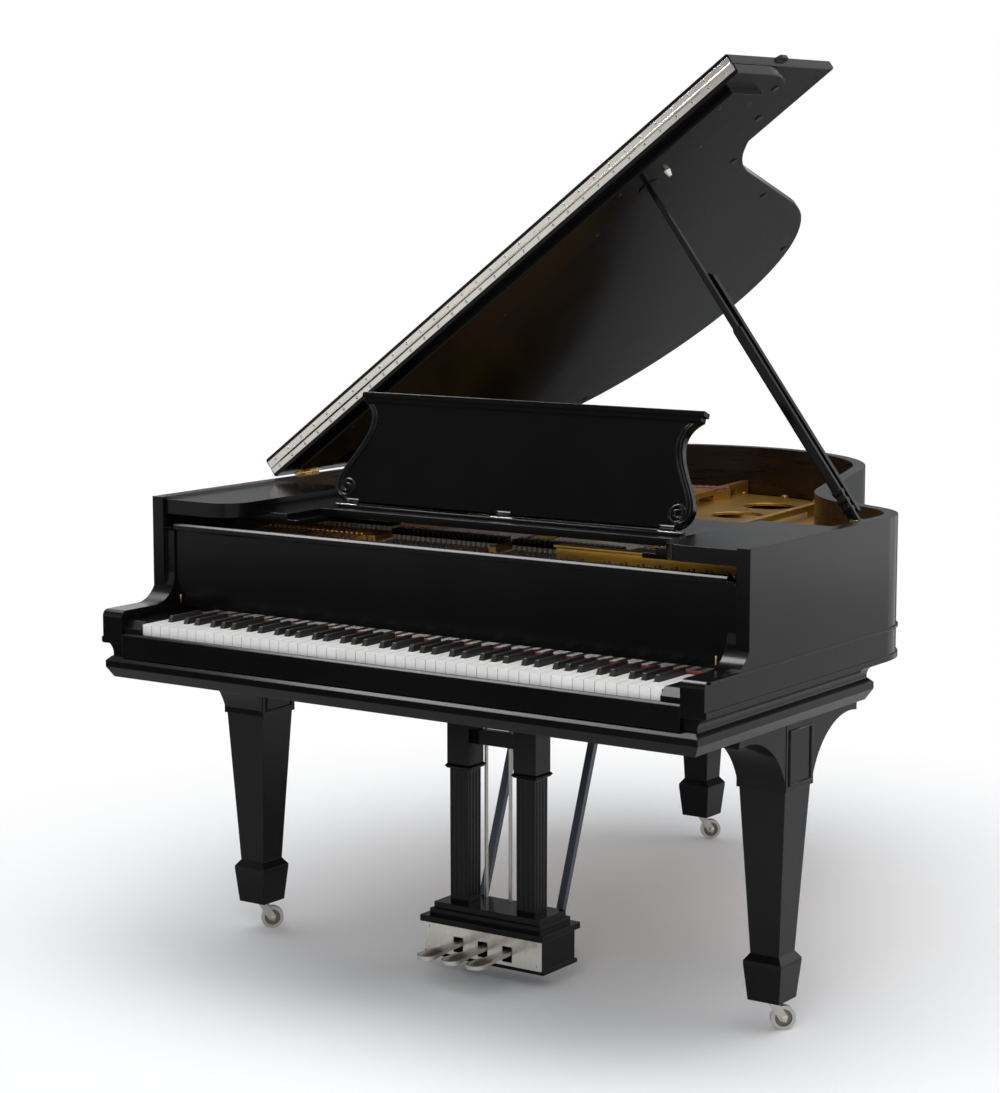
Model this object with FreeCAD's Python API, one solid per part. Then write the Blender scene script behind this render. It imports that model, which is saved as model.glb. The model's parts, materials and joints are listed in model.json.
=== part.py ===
import FreeCAD, Part
import math
import os

from FreeCAD import Vector as V

# Grand piano with a round tail, black case, lid on its long prop, front flap folded back.
# Sizes are millimetres. While modelling, x is 0 at the middle of the keyboard and grows to the
# treble, y is 0 at the front of the white keys and grows to the tail, z is 0 on the floor.

# Clearances shared by several pieces
PIN_CLEARANCE = 0.05
RAIL_CLEARANCE = 0.3
SIDE_CLEARANCE = 0.5

# Keyboard
WHITE_PITCH = 23.5
WHITE_COUNT = 52
NOTE_COUNT = 88
KEY_GAP = 0.8
KEY_DEPTH = 22.0
KEY_LENGTH = 390.0
HEAD_LENGTH = 50.0
SHARP_LENGTH = 95.0
SHARP_WIDTH = 10.5
SHARP_TOP_WIDTH = 8.5
SHARP_RISE = 12.0
BALANCE_Y = 215.0
KEY_RISE = 48.0

# Case, plan
KEY_BLOCK_WIDTH = 45.0
ARM_THICKNESS = 50.0
RIM_WALL = 28.0
RIM_FRONT = 142.0
CASE_TAIL = 1750.0
SHOULDER_BEHIND_FOLD = 140.0
SHOULDER_RADIUS = 150.0
SHOULDER_TURN = 63.0
SHOULDER_RUN = 90.0
WAIST_RADIUS = 320.0
WAIST_TURN = 45.5
TAIL_RADIUS = 443.0
INNER_RIM_WIDTH = 50.0

# Case, heights
BED_HEIGHT = 607.0
KEYBED_THICKNESS = 43.0
COVE_HEIGHT = 26.0
RIM_HEIGHT = 284.0
INNER_RIM_HEIGHT = 141.0
WAIST_BEAD_HEIGHT = 8.0
FOOT_BEAD_HEIGHT = 14.0
BEAD_OUT = 4.0
BEAD_SLOPE = 2.0

# Arms and keybed
ARM_FRONT = -14.0
ARM_NOSE_RISE = 24.0
ARM_NOSE_ROUND = 14.0
ARM_SCROLL_RADIUS = 60.0
ARM_STEP = 8.0
CHEEK_DROP = 62.0
CHEEK_BEHIND_BELLY = 25.0
KEYBED_REAR = 653.0
MOULD_INSET = 10.0
MOULD_TAPER = 12.0
MOULD_LIP = 9.0
MOULD_FLAT = 13.0
SLIP_THICKNESS = 11.0
SLIP_HEIGHT = 49.0
SLIP_CLEARANCE = 3.0
KEY_BLOCK_RISE = 4.0
KEY_BLOCK_REAR = 128.0

# Fallboard
FALL_SETBACK = 5.0
FALL_THICKNESS = 15.0
FALL_RISE = 15.0
FALL_HEIGHT = 171.0
FALL_NOSE = 8.0
FALL_PIVOT_RISE = 8.5
FALL_PIN_RADIUS = 4.0
FALL_PIN_LENGTH = 6.0

# Sound parts
SOUNDBOARD_THICKNESS = 9.0
STRING_RISE = 39.0
STRING_RADIUS = 0.8
BELLY_BEHIND_KEYS = 65.0
BELLY_BEHIND_STRIKE = 25.0
BELLY_DEPTH = 40.0
BRIDGE_WIDTH = 28.0
BRIDGE_STATION = 6
RIB_DEPTH = 22.0
RIB_WIDTH = 24.0
RIB_ANGLE = 12.0
RIB_COUNT = 9
BRACE_RAISE = 14.0
BRACE_DEPTH = 70.0
BRACE_WIDTH = 62.0
BRACE_COUNT = 4
TAIL_PAD = 127.0
PLATE_INSET = 34.0
PLATE_WEB = 78.0
PLATE_DECK = 8.0
PLATE_HORN = 58.0
WEB_BELOW_STRINGS = 19.0
DECK_BELOW_STRINGS = 9.0
STRUT_WIDTH = 16.0
BEARING_DEPTH = 10.0
PIN_BLOCK_LENGTH = 170.0
PIN_BLOCK_DEPTH = 36.0
TUNING_PIN_SIDE = 6.0
TUNING_PIN_RISE = 27.0
PIN_ROW_STEP = 13.0
PIN_ROWS = 9
STRIKE_GAP = 25.0
SHORTEST_STRING = 54.0
LONGEST_TREBLE = 860.0
STRING_ANGLE_LEAST = 2.0
STRING_ANGLE_MOST = 10.0
BASS_NOTES = 20
MIDDLE_BREAK_NOTE = 42
TREBLE_BREAK_NOTE = 62
BASS_SINGLE = 8
BASS_LIFT = 16.0
BASS_END_X = -466.0
BASS_END_SPAN = 330.0
BASS_END_BEFORE_TAIL = 280.0
BASS_END_RISE = 90.0
BASS_BRIDGE_SHARE = 0.93
SECTION_SQUEEZE = 0.92
UNISON_STEP = 3.2
DAMPED_NOTES = 68
DAMPER_DEPTH = 38.0
DAMPER_HEIGHT = 22.0

# Action
RAIL_BEFORE_STRIKE = 125.0
RAIL_DEPTH = 26.0
WIPPEN_RISE = 12.0
WIPPEN_THICKNESS = 11.0
HAMMER_RAIL_RISE = 56.0
HAMMER_BELOW_STRINGS = 43.0
HAMMER_SIZE = 24.0
ACTION_WIDTH = 9.0

# Lid
LID_OVERHANG = 10.0
LID_THICKNESS = 22.0
LID_GAP = 3.0
LID_SLOPE = 3.0
LID_OPEN = 36.5
FOLD_BEHIND_CHEEK = 70.0
FOLD_GAP = 3.0
HINGE_OUT = 6.0
HINGE_RADIUS = 4.5
HINGE_LENGTH = 78.0
HINGE_COUNT = 3
HINGE_LEAF = 1.6
HINGE_LEAF_DEPTH = 26.0
FLAP_KNUCKLE = 2.5
FLAP_KNUCKLES = 8
FLAP_LEAF = 1.5
FLAP_LEAF_DEPTH = 12.0
BATTEN_SETBACK = 33.0
BATTEN_DEPTH = 122.0
BATTEN_THICKNESS = 14.0
BUMPER_RADIUS = 8.0
LIFT_BLOCK_LENGTH = 46.0
CUP_THICKNESS = 2.0
CUP_RADIUS = 23.0
KNOB_SPACING = 52.0
KNOB_HEIGHT = 13.0

# Lid props
PROP_BEFORE_SHOULDER = 18.0
PROP_FROM_RIM = 28.0
PROP_BELOW_RIM = 22.0
PROP_WIDTH = 26.0
PROP_THICKNESS = 18.0
PROP_TIP_WIDTH = 11.0
PROP_TIP_TAPER = 230.0
PROP_TIP_GAP = 0.4
PROP_EYE = 15.0
PROP_PIN = 4.0
BRACKET_METAL = 4.0
SHORT_PROP = 560.0
SHORT_PROP_RISE = 42.0
SHORT_PROP_WIDTH = 21.0
SHORT_PROP_THICKNESS = 11.0

# Music desk
SIDE_SHELF_WIDTH = 178.0
SIDE_SHELF_DROP = 5.0
SIDE_SHELF_THICKNESS = 30.0
SIDE_SHELF_BEFORE_FOLD = 10.0
SIDE_SHELF_ROUND = 60.0
RUNNER_LIP = 59.0
RUNNER_LIP_RISE = 5.0
RUNNER_LEDGE = 30.0
RUNNER_DROP = 17.0
RUNNER_THICKNESS = 10.0
RUNNER_LEAD = 90.0
SHELF_FRONT = 345.0
SHELF_DEPTH = 287.0
SHELF_THICKNESS = 16.0
DESK_SETBACK = 55.0
DESK_LEAN = 23.0
DESK_HEIGHT = 236.0
DESK_THICKNESS = 15.0
DESK_FOOT_DROP = 6.0
DESK_MARGIN = 10.0
DESK_FOOT_IN = 26.0
DESK_NECK_IN = 50.0
DESK_HEAD_IN = 23.0
VOLUTE_SHARE = 0.14
SWEEP_SHARE = 0.42
SWEEP_IN = 22.0
NECK_SHARE = 0.86
DESK_CORNICE = 20.0
DESK_CORNICE_OUT = 6.0
DESK_HINGE_RISE = 16.0
DESK_HINGE_LENGTH = 34.0
DESK_HINGE_RADIUS = 4.0
STRUT_ARM = 105.0
STRUT_OVERRUN = 4.0
STRUT_BAR = 6.0
STRUT_SIDE_BAR = 4.6
STRUT_SPREAD = 150.0
STRUT_LUG = 8.0
STRUT_LUG_WALL = 1.0

# Legs and casters
LEG_FROM_SIDE = 78.0
LEG_Y = 385.0
TAIL_LEG_X = -250.0
TAIL_LEG_FROM_TAIL = 135.0
LEG_BLOCK = 106.0
LEG_BLOCK_HEIGHT = 129.0
LEG_SHAFT_TOP = 98.0
LEG_SHAFT_FOOT = 62.0
SPADE_TOP_Z = 140.0
SPADE_NECK = 14.0
SPADE_WIDE = 82.0
SPADE_NARROW = 68.0
LEG_FOOT_Z = 62.0
CORBEL_REACH = 176.0
CORBEL_RISE = 100.0
CORBEL_LIP = 16.0
CORBEL_SETBACK = 1.0
WHEEL_RADIUS = 24.0
WHEEL_WIDTH = 15.0
WHEEL_DISH_RADIUS = 17.0
WHEEL_DISH = 3.0
CASTER_TRAIL = 22.0
CASTER_HEADING = 42.0
CASTER_PLATE = 5.0
CASTER_STEM = 9.0
CASTER_STEM_LENGTH = 64.0
FORK_THICKNESS = 4.0
FORK_CLEARANCE = 1.0
AXLE_RADIUS = 4.0
CASTER_GAP = 0.4

# Pedal lyre
LYRE_FRONT = 350.0
POST_INNER = 55.0
POST_WIDTH = 53.0
POST_FOOT = 44.0
COLLAR_BELOW_BED = 177.0
COLLAR_OUT = 8.0
COLLAR_HEIGHT = 10.0
LYRE_CAP = 18.0
CROSSBAR_BELOW_BED = 129.0
CROSSBAR_HEIGHT = 30.0
FLUTE_COUNT = 4
FLUTE_RADIUS = 2.0
BOX_HALF = 142.0
BOX_FRONT = 320.0
BOX_DEPTH = 122.0
BOX_BOTTOM = 46.0
BOX_HEIGHT = 62.0
BOX_WALL = 13.0
BOX_BACK = 6.0
BOX_BASE = 8.0
PLINTH_HEIGHT = 39.0
PLINTH_STEP = 13.0
PLINTH_LIP = 8.0
PEDAL_SPACING = 60.0
PEDAL_WIDTH = 20.0
PEDAL_TIP_WIDTH = 40.0
PEDAL_THICKNESS = 8.0
PEDAL_Z = 72.0
PEDAL_REACH = 128.0
PEDAL_NECK = 43.0
PEDAL_PIVOT_Y = 388.0
PEDAL_TAIL = 8.0
PEDAL_BOSS = 8.0
PEDAL_SLOT = 24.0
PEDAL_SLOT_HEIGHT = 32.0
PEDAL_SLOT_DROP = 19.0
PEDAL_PIN = 4.0
PLATE_METAL = 2.5
ROD_RADIUS = 4.0
ROD_HOLE = 6.0
ROD_Y = 420.0
ROD_INTO_BED = 25.0
BRACE_BAR = 8.0
BRACE_BAR_X = 96.0
BRACE_BAR_REAR = 632.0

# Worked-out places
KEYBOARD_HALF = WHITE_PITCH * WHITE_COUNT / 2
ARM_INNER = KEYBOARD_HALF + KEY_BLOCK_WIDTH
CASE_HALF = ARM_INNER + ARM_THICKNESS
RIM_INNER = CASE_HALF - RIM_WALL
KEYBED_TOP = BED_HEIGHT + KEYBED_THICKNESS
RIM_BOTTOM = KEYBED_TOP + COVE_HEIGHT
RIM_TOP = RIM_BOTTOM + RIM_HEIGHT
INNER_RIM_TOP = RIM_BOTTOM + INNER_RIM_HEIGHT
KEY_BOTTOM = KEYBED_TOP + KEY_RISE
KEY_TOP = KEY_BOTTOM + KEY_DEPTH
ARM_NOSE_TOP = KEY_TOP + ARM_NOSE_RISE
ARM_FACE_Y = RIM_FRONT + ARM_STEP
WAIST_BEAD_Z = ARM_NOSE_TOP - WAIST_BEAD_HEIGHT
CHEEK_TOP = RIM_TOP - CHEEK_DROP
SLIP_TOP = KEYBED_TOP + SLIP_HEIGHT
KEY_BLOCK_TOP = KEY_TOP + KEY_BLOCK_RISE
MOULD_FRONT = ARM_FRONT - MOULD_INSET / 2
FALL_FACE_Y = ARM_FACE_Y + FALL_SETBACK
FALL_BOTTOM = KEY_TOP + FALL_RISE
FALL_TOP = FALL_BOTTOM + FALL_HEIGHT
FALL_PIVOT_Y = FALL_FACE_Y + FALL_THICKNESS / 2
FALL_PIVOT_Z = FALL_BOTTOM + FALL_PIVOT_RISE
SOUNDBOARD_TOP = INNER_RIM_TOP + SOUNDBOARD_THICKNESS
STRING_Z = SOUNDBOARD_TOP + STRING_RISE
BELLY_FRONT = KEY_LENGTH + BELLY_BEHIND_KEYS
STRIKE_Y = BELLY_FRONT - BELLY_BEHIND_STRIKE
PIN_BLOCK_REAR = STRIKE_Y - STRIKE_GAP
BEARING_Y = PIN_BLOCK_REAR - STRUT_WIDTH - BEARING_DEPTH
PLATE_FRONT = PIN_BLOCK_REAR - PIN_BLOCK_LENGTH
RAIL_FRONT = STRIKE_Y - RAIL_BEFORE_STRIKE
BELLY_REAR = BELLY_FRONT + BELLY_DEPTH
CHEEK_END = BELLY_FRONT + CHEEK_BEHIND_BELLY
PLATE_DECK_TOP = STRING_Z - DECK_BELOW_STRINGS
PIN_BLOCK_TOP = PLATE_DECK_TOP - PLATE_DECK
PLATE_WEB_TOP = STRING_Z - WEB_BELOW_STRINGS
STRUT_TOP = STRING_Z + BASS_LIFT - 2 * STRING_RADIUS
BRACE_BOTTOM = RIM_BOTTOM + BRACE_RAISE
BRACE_TOP = BRACE_BOTTOM + BRACE_DEPTH
WIPPEN_BOTTOM = KEY_TOP + WIPPEN_RISE
HAMMER_RAIL_Z = KEY_TOP + HAMMER_RAIL_RISE
HAMMER_TOP = STRING_Z - HAMMER_BELOW_STRINGS
FOLD_Y = CHEEK_END + FOLD_BEHIND_CHEEK
HINGE_X = -CASE_HALF - HINGE_OUT
LID_BOTTOM = RIM_TOP + LID_GAP
LID_TOP = LID_BOTTOM + LID_THICKNESS
LID_HALF = CASE_HALF + LID_OVERHANG
FLAP_AXIS_Z = LID_TOP + SIDE_CLEARANCE
FLAP_FRONT = RIM_FRONT - LID_OVERHANG
BATTEN_FRONT = FOLD_Y + BATTEN_SETBACK
SHOULDER_Y = FOLD_Y + SHOULDER_BEHIND_FOLD
PROP_Y = SHOULDER_Y - PROP_BEFORE_SHOULDER
PROP_PIVOT_X = RIM_INNER - PROP_FROM_RIM
PROP_PIVOT_Z = RIM_TOP - PROP_BELOW_RIM
SIDE_SHELF_INNER = RIM_INNER - SIDE_SHELF_WIDTH
SIDE_SHELF_TOP = RIM_TOP - SIDE_SHELF_DROP
SIDE_SHELF_BOTTOM = SIDE_SHELF_TOP - SIDE_SHELF_THICKNESS
SIDE_SHELF_REAR = FOLD_Y - SIDE_SHELF_BEFORE_FOLD
RUNNER_Z = SIDE_SHELF_BOTTOM - RUNNER_DROP
SHELF_HALF = SIDE_SHELF_INNER - RUNNER_LIP - SIDE_CLEARANCE
SHELF_BOTTOM = RUNNER_Z + RUNNER_THICKNESS + RAIL_CLEARANCE
SHELF_TOP = SHELF_BOTTOM + SHELF_THICKNESS
SHELF_REAR = SHELF_FRONT + SHELF_DEPTH
DESK_Y = SHELF_FRONT + DESK_SETBACK
DESK_AXIS_Z = SHELF_TOP + DESK_HINGE_RISE
DESK_VOLUTE_HALF = SHELF_HALF - DESK_MARGIN
DESK_FOOT_HALF = DESK_VOLUTE_HALF - DESK_FOOT_IN
DESK_NECK_HALF = DESK_VOLUTE_HALF - DESK_NECK_IN
DESK_HEAD_HALF = DESK_VOLUTE_HALF - DESK_HEAD_IN
LEG_X = CASE_HALF - LEG_FROM_SIDE
TAIL_LEG_Y = CASE_TAIL - TAIL_LEG_FROM_TAIL
BASS_END_Y = CASE_TAIL - BASS_END_BEFORE_TAIL
POST_COLLAR_Z = BED_HEIGHT - COLLAR_BELOW_BED
CROSSBAR_Z = BED_HEIGHT - CROSSBAR_BELOW_BED
BOX_REAR = BOX_FRONT + BOX_DEPTH
BOX_TOP = BOX_BOTTOM + BOX_HEIGHT
PLINTH_TOP = BOX_TOP + PLINTH_HEIGHT
ROD_TOP = BED_HEIGHT + ROD_INTO_BED

STRUT_NOTES = (BASS_NOTES, MIDDLE_BREAK_NOTE, TREBLE_BREAK_NOTE)
PITCH_NAMES = ["C", "C_sharp", "D", "D_sharp", "E", "F",
               "F_sharp", "G", "G_sharp", "A", "A_sharp", "B"]
SHARP_CLASSES = (1, 3, 6, 8, 10)
FIRST_NOTE = "A"
LOW_GROUP_KEYS = 5
LOW_GROUP_WHITES = 3
HIGH_GROUP_KEYS = 7
HIGH_GROUP_WHITES = 4
PEDAL_NAMES = ["soft", "sostenuto", "sustain"]
FRONT_LEGS = {"bass": (-LEG_X, LEG_Y), "treble": (LEG_X, LEG_Y)}
TAIL_LEG = (TAIL_LEG_X, TAIL_LEG_Y)
DIAGONAL = math.sqrt(0.5)
UP = V(0, 0, 1)


def box(x0, x1, y0, y1, z0, z1):
    return Part.makeBox(x1 - x0, y1 - y0, z1 - z0, V(x0, y0, z0))


def face_of(points):
    return Part.Face(Part.makePolygon(list(points) + [points[0]]))


def plan_prism(outline, z0, z1):
    return face_of([V(x, y, z0) for x, y in outline]).extrude(V(0, 0, z1 - z0))


def side_prism(outline, x0, x1):
    return face_of([V(x0, y, z) for y, z in outline]).extrude(V(x1 - x0, 0, 0))


def front_prism(outline, y0, y1):
    return face_of([V(x, y0, z) for x, z in outline]).extrude(V(0, y1 - y0, 0))


def rod(start, end, radius):
    return Part.makeCylinder(radius, (end - start).Length, start, end - start)


def post_rod(x, y, z0, z1, radius):
    return Part.makeCylinder(radius, z1 - z0, V(x, y, z0), UP)


def closed_wire(corners):
    return Part.makePolygon(list(corners) + [corners[0]])


def level_wire(x0, x1, y0, y1, z):
    return closed_wire([V(x0, y0, z), V(x1, y0, z), V(x1, y1, z), V(x0, y1, z)])


def square_wire(centre, side, z):
    h = side / 2
    x, y = centre
    return level_wire(x - h, x + h, y - h, y + h, z)


def ruled(wires):
    return Part.makeLoft(wires, True, True)


def mirrored(shape):
    return shape.mirror(V(0, 0, 0), V(1, 0, 0))


def both_sides(shape):
    return [shape, mirrored(shape)]


def joined(first, others):
    return first.fuse(others).removeSplitter()


class Pen:
    """Draws a run of lines and arcs that meet smoothly, on the level z."""

    def __init__(self, x, y, z):
        self.point = V(x, y, z)
        self.heading = 90.0
        self.edges = []

    def step(self, turn, radius):
        """Point reached after turning left (radius > 0) or right (radius < 0)."""
        a, b = math.radians(self.heading), math.radians(self.heading + turn)
        return self.point + V(math.sin(b) - math.sin(a), math.cos(a) - math.cos(b), 0) * radius

    def line(self, length):
        a = math.radians(self.heading)
        end = self.point + V(math.cos(a), math.sin(a), 0) * length
        self.edges.append(Part.makeLine(self.point, end))
        self.point = end

    def arc(self, turn, radius):
        middle, end = self.step(turn / 2, radius), self.step(turn, radius)
        self.edges.append(Part.Arc(self.point, middle, end).toShape())
        self.point = end
        self.heading += turn


def rim_run(inset, front, z):
    """Case outline from the treble front round the tail to the bass front, moved in by inset."""
    pen = Pen(CASE_HALF - inset, front, z)
    pen.line(SHOULDER_Y - front)
    pen.arc(SHOULDER_TURN, SHOULDER_RADIUS - inset)
    pen.line(SHOULDER_RUN)
    pen.arc(-WAIST_TURN, -(WAIST_RADIUS + inset))
    tail_turn = 180.0 - pen.heading
    tail_radius = TAIL_RADIUS - inset
    tail_y = pen.step(tail_turn, tail_radius).y
    pen.line((CASE_TAIL - inset - tail_y) / math.sin(math.radians(pen.heading)))
    pen.arc(tail_turn, tail_radius)
    pen.arc(90.0, pen.point.x + CASE_HALF - inset)
    pen.line(pen.point.y - front)
    return pen.edges


def outline_edges(inset, front, z):
    """The rim run closed by a straight line along y = front."""
    half = CASE_HALF - inset
    return rim_run(inset, front, z) + [Part.makeLine(V(-half, front, z), V(half, front, z))]


def wire_of(edges):
    return Part.Wire(Part.__sortEdges__(edges))


def rim_panel(inset, front, z0, z1):
    """Board that fills the case outline behind the line y = front."""
    return Part.Face(wire_of(outline_edges(inset, front, z0))).extrude(V(0, 0, z1 - z0))


def rim_plate(levels, front):
    """Board like rim_panel whose edge slopes through (inset, z) levels."""
    return ruled([wire_of(outline_edges(inset, front, z)) for inset, z in levels])


def rim_band(outer, inner, front, z0, z1):
    """Bent strip between two insets of the case outline, open at the front."""
    edges = rim_run(outer, front, z0) + rim_run(inner, front, z0)
    for s in (-1, 1):
        out, inn = s * (CASE_HALF - outer), s * (CASE_HALF - inner)
        edges.append(Part.makeLine(V(out, front, z0), V(inn, front, z0)))
    return Part.Face(wire_of(edges)).extrude(V(0, 0, z1 - z0))


def bead_levels(z0, height):
    return [(0, z0), (-BEAD_OUT, z0 + BEAD_SLOPE), (-BEAD_OUT, z0 + height - BEAD_SLOPE), (0, z0 + height)]


def rim_bead(z0, height):
    """Bead with broken corners round the outside of the case."""
    core = rim_panel(RIM_WALL / 2, RIM_FRONT, z0, z0 + height)
    return rim_plate(bead_levels(z0, height), RIM_FRONT).cut(core)


def arm_bead(z0, height, front):
    """The same bead carried forward along the outside of the treble arm."""
    section = [(CASE_HALF - inset, z) for inset, z in bead_levels(z0, height)]
    return front_prism(section, front, RIM_FRONT)


def chain_wire(points, middles):
    """Closed wire through points; middles gives the middle point of each arc by its start."""
    edges = []
    for i, start in enumerate(points):
        end = points[(i + 1) % len(points)]
        if i in middles:
            edges.append(Part.Arc(start, middles[i], end).toShape())
        else:
            edges.append(Part.makeLine(start, end))
    return Part.Wire(edges)


def arm_profile():
    """Side view of an arm: nose, hollow scroll, upright face and step."""
    x = ARM_INNER
    nose_y, nose_z = ARM_FRONT + ARM_NOSE_ROUND, ARM_NOSE_TOP - ARM_NOSE_ROUND
    scroll_y, scroll_z = ARM_FACE_Y - ARM_SCROLL_RADIUS, ARM_NOSE_TOP + ARM_SCROLL_RADIUS
    points = [V(x, CHEEK_END, RIM_BOTTOM), V(x, ARM_FRONT, RIM_BOTTOM), V(x, ARM_FRONT, nose_z),
              V(x, nose_y, ARM_NOSE_TOP), V(x, scroll_y, ARM_NOSE_TOP), V(x, ARM_FACE_Y, scroll_z),
              V(x, ARM_FACE_Y, CHEEK_TOP - ARM_STEP), V(x, RIM_FRONT, CHEEK_TOP), V(x, CHEEK_END, CHEEK_TOP)]
    nose, scroll = ARM_NOSE_ROUND * DIAGONAL, ARM_SCROLL_RADIUS * DIAGONAL
    middles = {2: V(x, nose_y - nose, nose_z + nose), 4: V(x, scroll_y + scroll, scroll_z - scroll)}
    return chain_wire(points, middles)


def arm():
    """Treble arm with its cheek, bored for the fallboard's pivot pin."""
    slab = Part.Face(arm_profile()).extrude(V(ARM_THICKNESS, 0, 0))
    depth = FALL_PIN_LENGTH + SIDE_CLEARANCE
    socket = Part.makeCylinder(FALL_PIN_RADIUS + PIN_CLEARANCE, depth,
                               V(ARM_INNER, FALL_PIVOT_Y, FALL_PIVOT_Z), V(1, 0, 0))
    return slab.cut(socket)


def outer_rim():
    """Bent case wall with both arms and the two beads round it."""
    wall = rim_band(0, RIM_WALL, RIM_FRONT, RIM_BOTTOM, RIM_TOP)
    beads = [rim_bead(WAIST_BEAD_Z, WAIST_BEAD_HEIGHT), rim_bead(RIM_BOTTOM, FOOT_BEAD_HEIGHT)]
    beads += both_sides(arm_bead(WAIST_BEAD_Z, WAIST_BEAD_HEIGHT, ARM_FRONT + ARM_NOSE_ROUND))
    beads += both_sides(arm_bead(RIM_BOTTOM, FOOT_BEAD_HEIGHT, ARM_FRONT))
    return [joined(wall, both_sides(arm()) + beads)]


def cove_rail():
    """Hollow moulding between the bed and the treble side of the case."""
    inner = CASE_HALF - MOULD_INSET - MOULD_LIP
    outer = CASE_HALF - BEAD_OUT
    y = ARM_FRONT + MOULD_LIP
    middle = V(inner + (outer - inner) * (1 - DIAGONAL), y, KEYBED_TOP + COVE_HEIGHT * DIAGONAL)
    points = [V(ARM_INNER, y, KEYBED_TOP), V(inner, y, KEYBED_TOP), V(outer, y, RIM_BOTTOM),
              V(ARM_INNER, y, RIM_BOTTOM)]
    return Part.Face(chain_wire(points, {1: middle})).extrude(V(0, KEYBED_REAR - MOULD_TAPER - y, 0))


def keybed():
    """Bed with a moulded edge that tapers in below, side rails under the case and rod holes."""
    half = CASE_HALF - MOULD_INSET
    lip_z = KEYBED_TOP - MOULD_LIP
    levels = [(MOULD_TAPER, BED_HEIGHT), (0, lip_z - MOULD_FLAT), (0, lip_z), (MOULD_LIP, KEYBED_TOP)]
    bed = ruled([level_wire(d - half, half - d, MOULD_FRONT + d, KEYBED_REAR - d, z) for d, z in levels])
    bed = joined(bed, both_sides(cove_rail()))
    return [bed.cut([post_rod(x, ROD_Y, BED_HEIGHT, KEYBED_TOP, ROD_HOLE) for x in pedal_places()])]


def key_slip():
    """Rail in front of the keys with its upper front corner broken."""
    rear = -SLIP_CLEARANCE
    front = rear - SLIP_THICKNESS
    half = ARM_INNER - SIDE_CLEARANCE
    nose = SLIP_THICKNESS / 3
    outline = [(front, KEYBED_TOP), (rear, KEYBED_TOP), (rear, SLIP_TOP), (front + nose, SLIP_TOP),
               (front, SLIP_TOP - nose)]
    return [side_prism(outline, -half, half)]


def key_blocks():
    """Block at each end of the keys, lapping over the ends of the key slip."""
    front = ARM_FRONT / 2
    inner, outer = KEYBOARD_HALF + KEY_GAP, ARM_INNER - SIDE_CLEARANCE
    nose = KEY_BLOCK_WIDTH / 3
    behind_slip, over_slip = SIDE_CLEARANCE - SLIP_CLEARANCE, SLIP_TOP + SIDE_CLEARANCE
    outline = [(behind_slip, KEYBED_TOP), (KEY_BLOCK_REAR, KEYBED_TOP), (KEY_BLOCK_REAR, KEY_BLOCK_TOP),
               (front + nose, KEY_BLOCK_TOP), (front, KEY_BLOCK_TOP - nose), (front, over_slip),
               (behind_slip, over_slip)]
    return both_sides(side_prism(outline, inner, outer))


def key_places():
    """Pitch class, left edge of its white head (None for sharps) and narrow part of every key."""
    places = []
    white = 0
    for note in range(NOTE_COUNT):
        pitch = (PITCH_NAMES.index(FIRST_NOTE) + note) % len(PITCH_NAMES)
        low = pitch < LOW_GROUP_KEYS
        keys, whites = (LOW_GROUP_KEYS, LOW_GROUP_WHITES) if low else (HIGH_GROUP_KEYS, HIGH_GROUP_WHITES)
        rank = pitch if low else pitch - LOW_GROUP_KEYS
        width = whites * WHITE_PITCH / keys
        group = (white - (rank + 1) // 2) * WHITE_PITCH - KEYBOARD_HALF
        slot = (group + rank * width, group + (rank + 1) * width)
        if pitch in SHARP_CLASSES:
            places.append((pitch, None, slot))
        else:
            places.append((pitch, white * WHITE_PITCH - KEYBOARD_HALF, slot))
            white += 1
    return places


KEY_PLACES = key_places()


def white_key(left, slot, note):
    """White key: wide head and, joined on behind it, a narrow tail; the end keys stay wide outside."""
    g = KEY_GAP / 2
    x0, x1 = left + g, left + WHITE_PITCH - g
    a = x0 if note == 0 else slot[0] + g
    b = x1 if note == NOTE_COUNT - 1 else slot[1] - g
    head = box(x0, x1, 0, HEAD_LENGTH, KEY_BOTTOM, KEY_TOP)
    tail = box(max(a, x0), min(b, x1), HEAD_LENGTH, KEY_LENGTH, KEY_BOTTOM, KEY_TOP)
    return [head, tail]


def sharp_key(slot):
    """Stick just below the whites with the raised, sloped sharp glued on its front."""
    g = KEY_GAP / 2
    middle = (slot[0] + slot[1]) / 2
    front = HEAD_LENGTH + 2 * KEY_GAP
    rear = front + SHARP_LENGTH
    stick_top, top = KEY_TOP - KEY_GAP, KEY_TOP + SHARP_RISE
    stick = box(slot[0] + g, slot[1] - g, front, KEY_LENGTH, KEY_BOTTOM, stick_top)
    low, high = SHARP_WIDTH / 2, SHARP_TOP_WIDTH / 2
    cap = ruled([level_wire(middle - low, middle + low, front, rear, stick_top),
                 level_wire(middle - high, middle + high, front + SHARP_RISE / 2, rear, top)])
    return [stick, cap]


def key_nodes():
    """All 88 keys, gathered by note name: neighbours never share a group."""
    groups = {name: [] for name in PITCH_NAMES}
    for note, (pitch, left, slot) in enumerate(KEY_PLACES):
        key = sharp_key(slot) if left is None else white_key(left, slot, note)
        groups[PITCH_NAMES[pitch]].extend(key)
    return groups


def note_x(note):
    """Middle of a key's narrow part, where its wippen stands."""
    _, _, slot = KEY_PLACES[note]
    return (slot[0] + slot[1]) / 2


def string_x(note):
    """Place of a note on the strike line; sections draw together to leave room for the struts."""
    breaks = (0,) + STRUT_NOTES + (NOTE_COUNT,)
    first = max(b for b in breaks if b <= note)
    last = min(b for b in breaks if b > note) - 1
    anchor = (note_x(first) + note_x(last)) / 2 if first else note_x(first)
    return anchor + (note_x(note) - anchor) * SECTION_SQUEEZE


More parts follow.
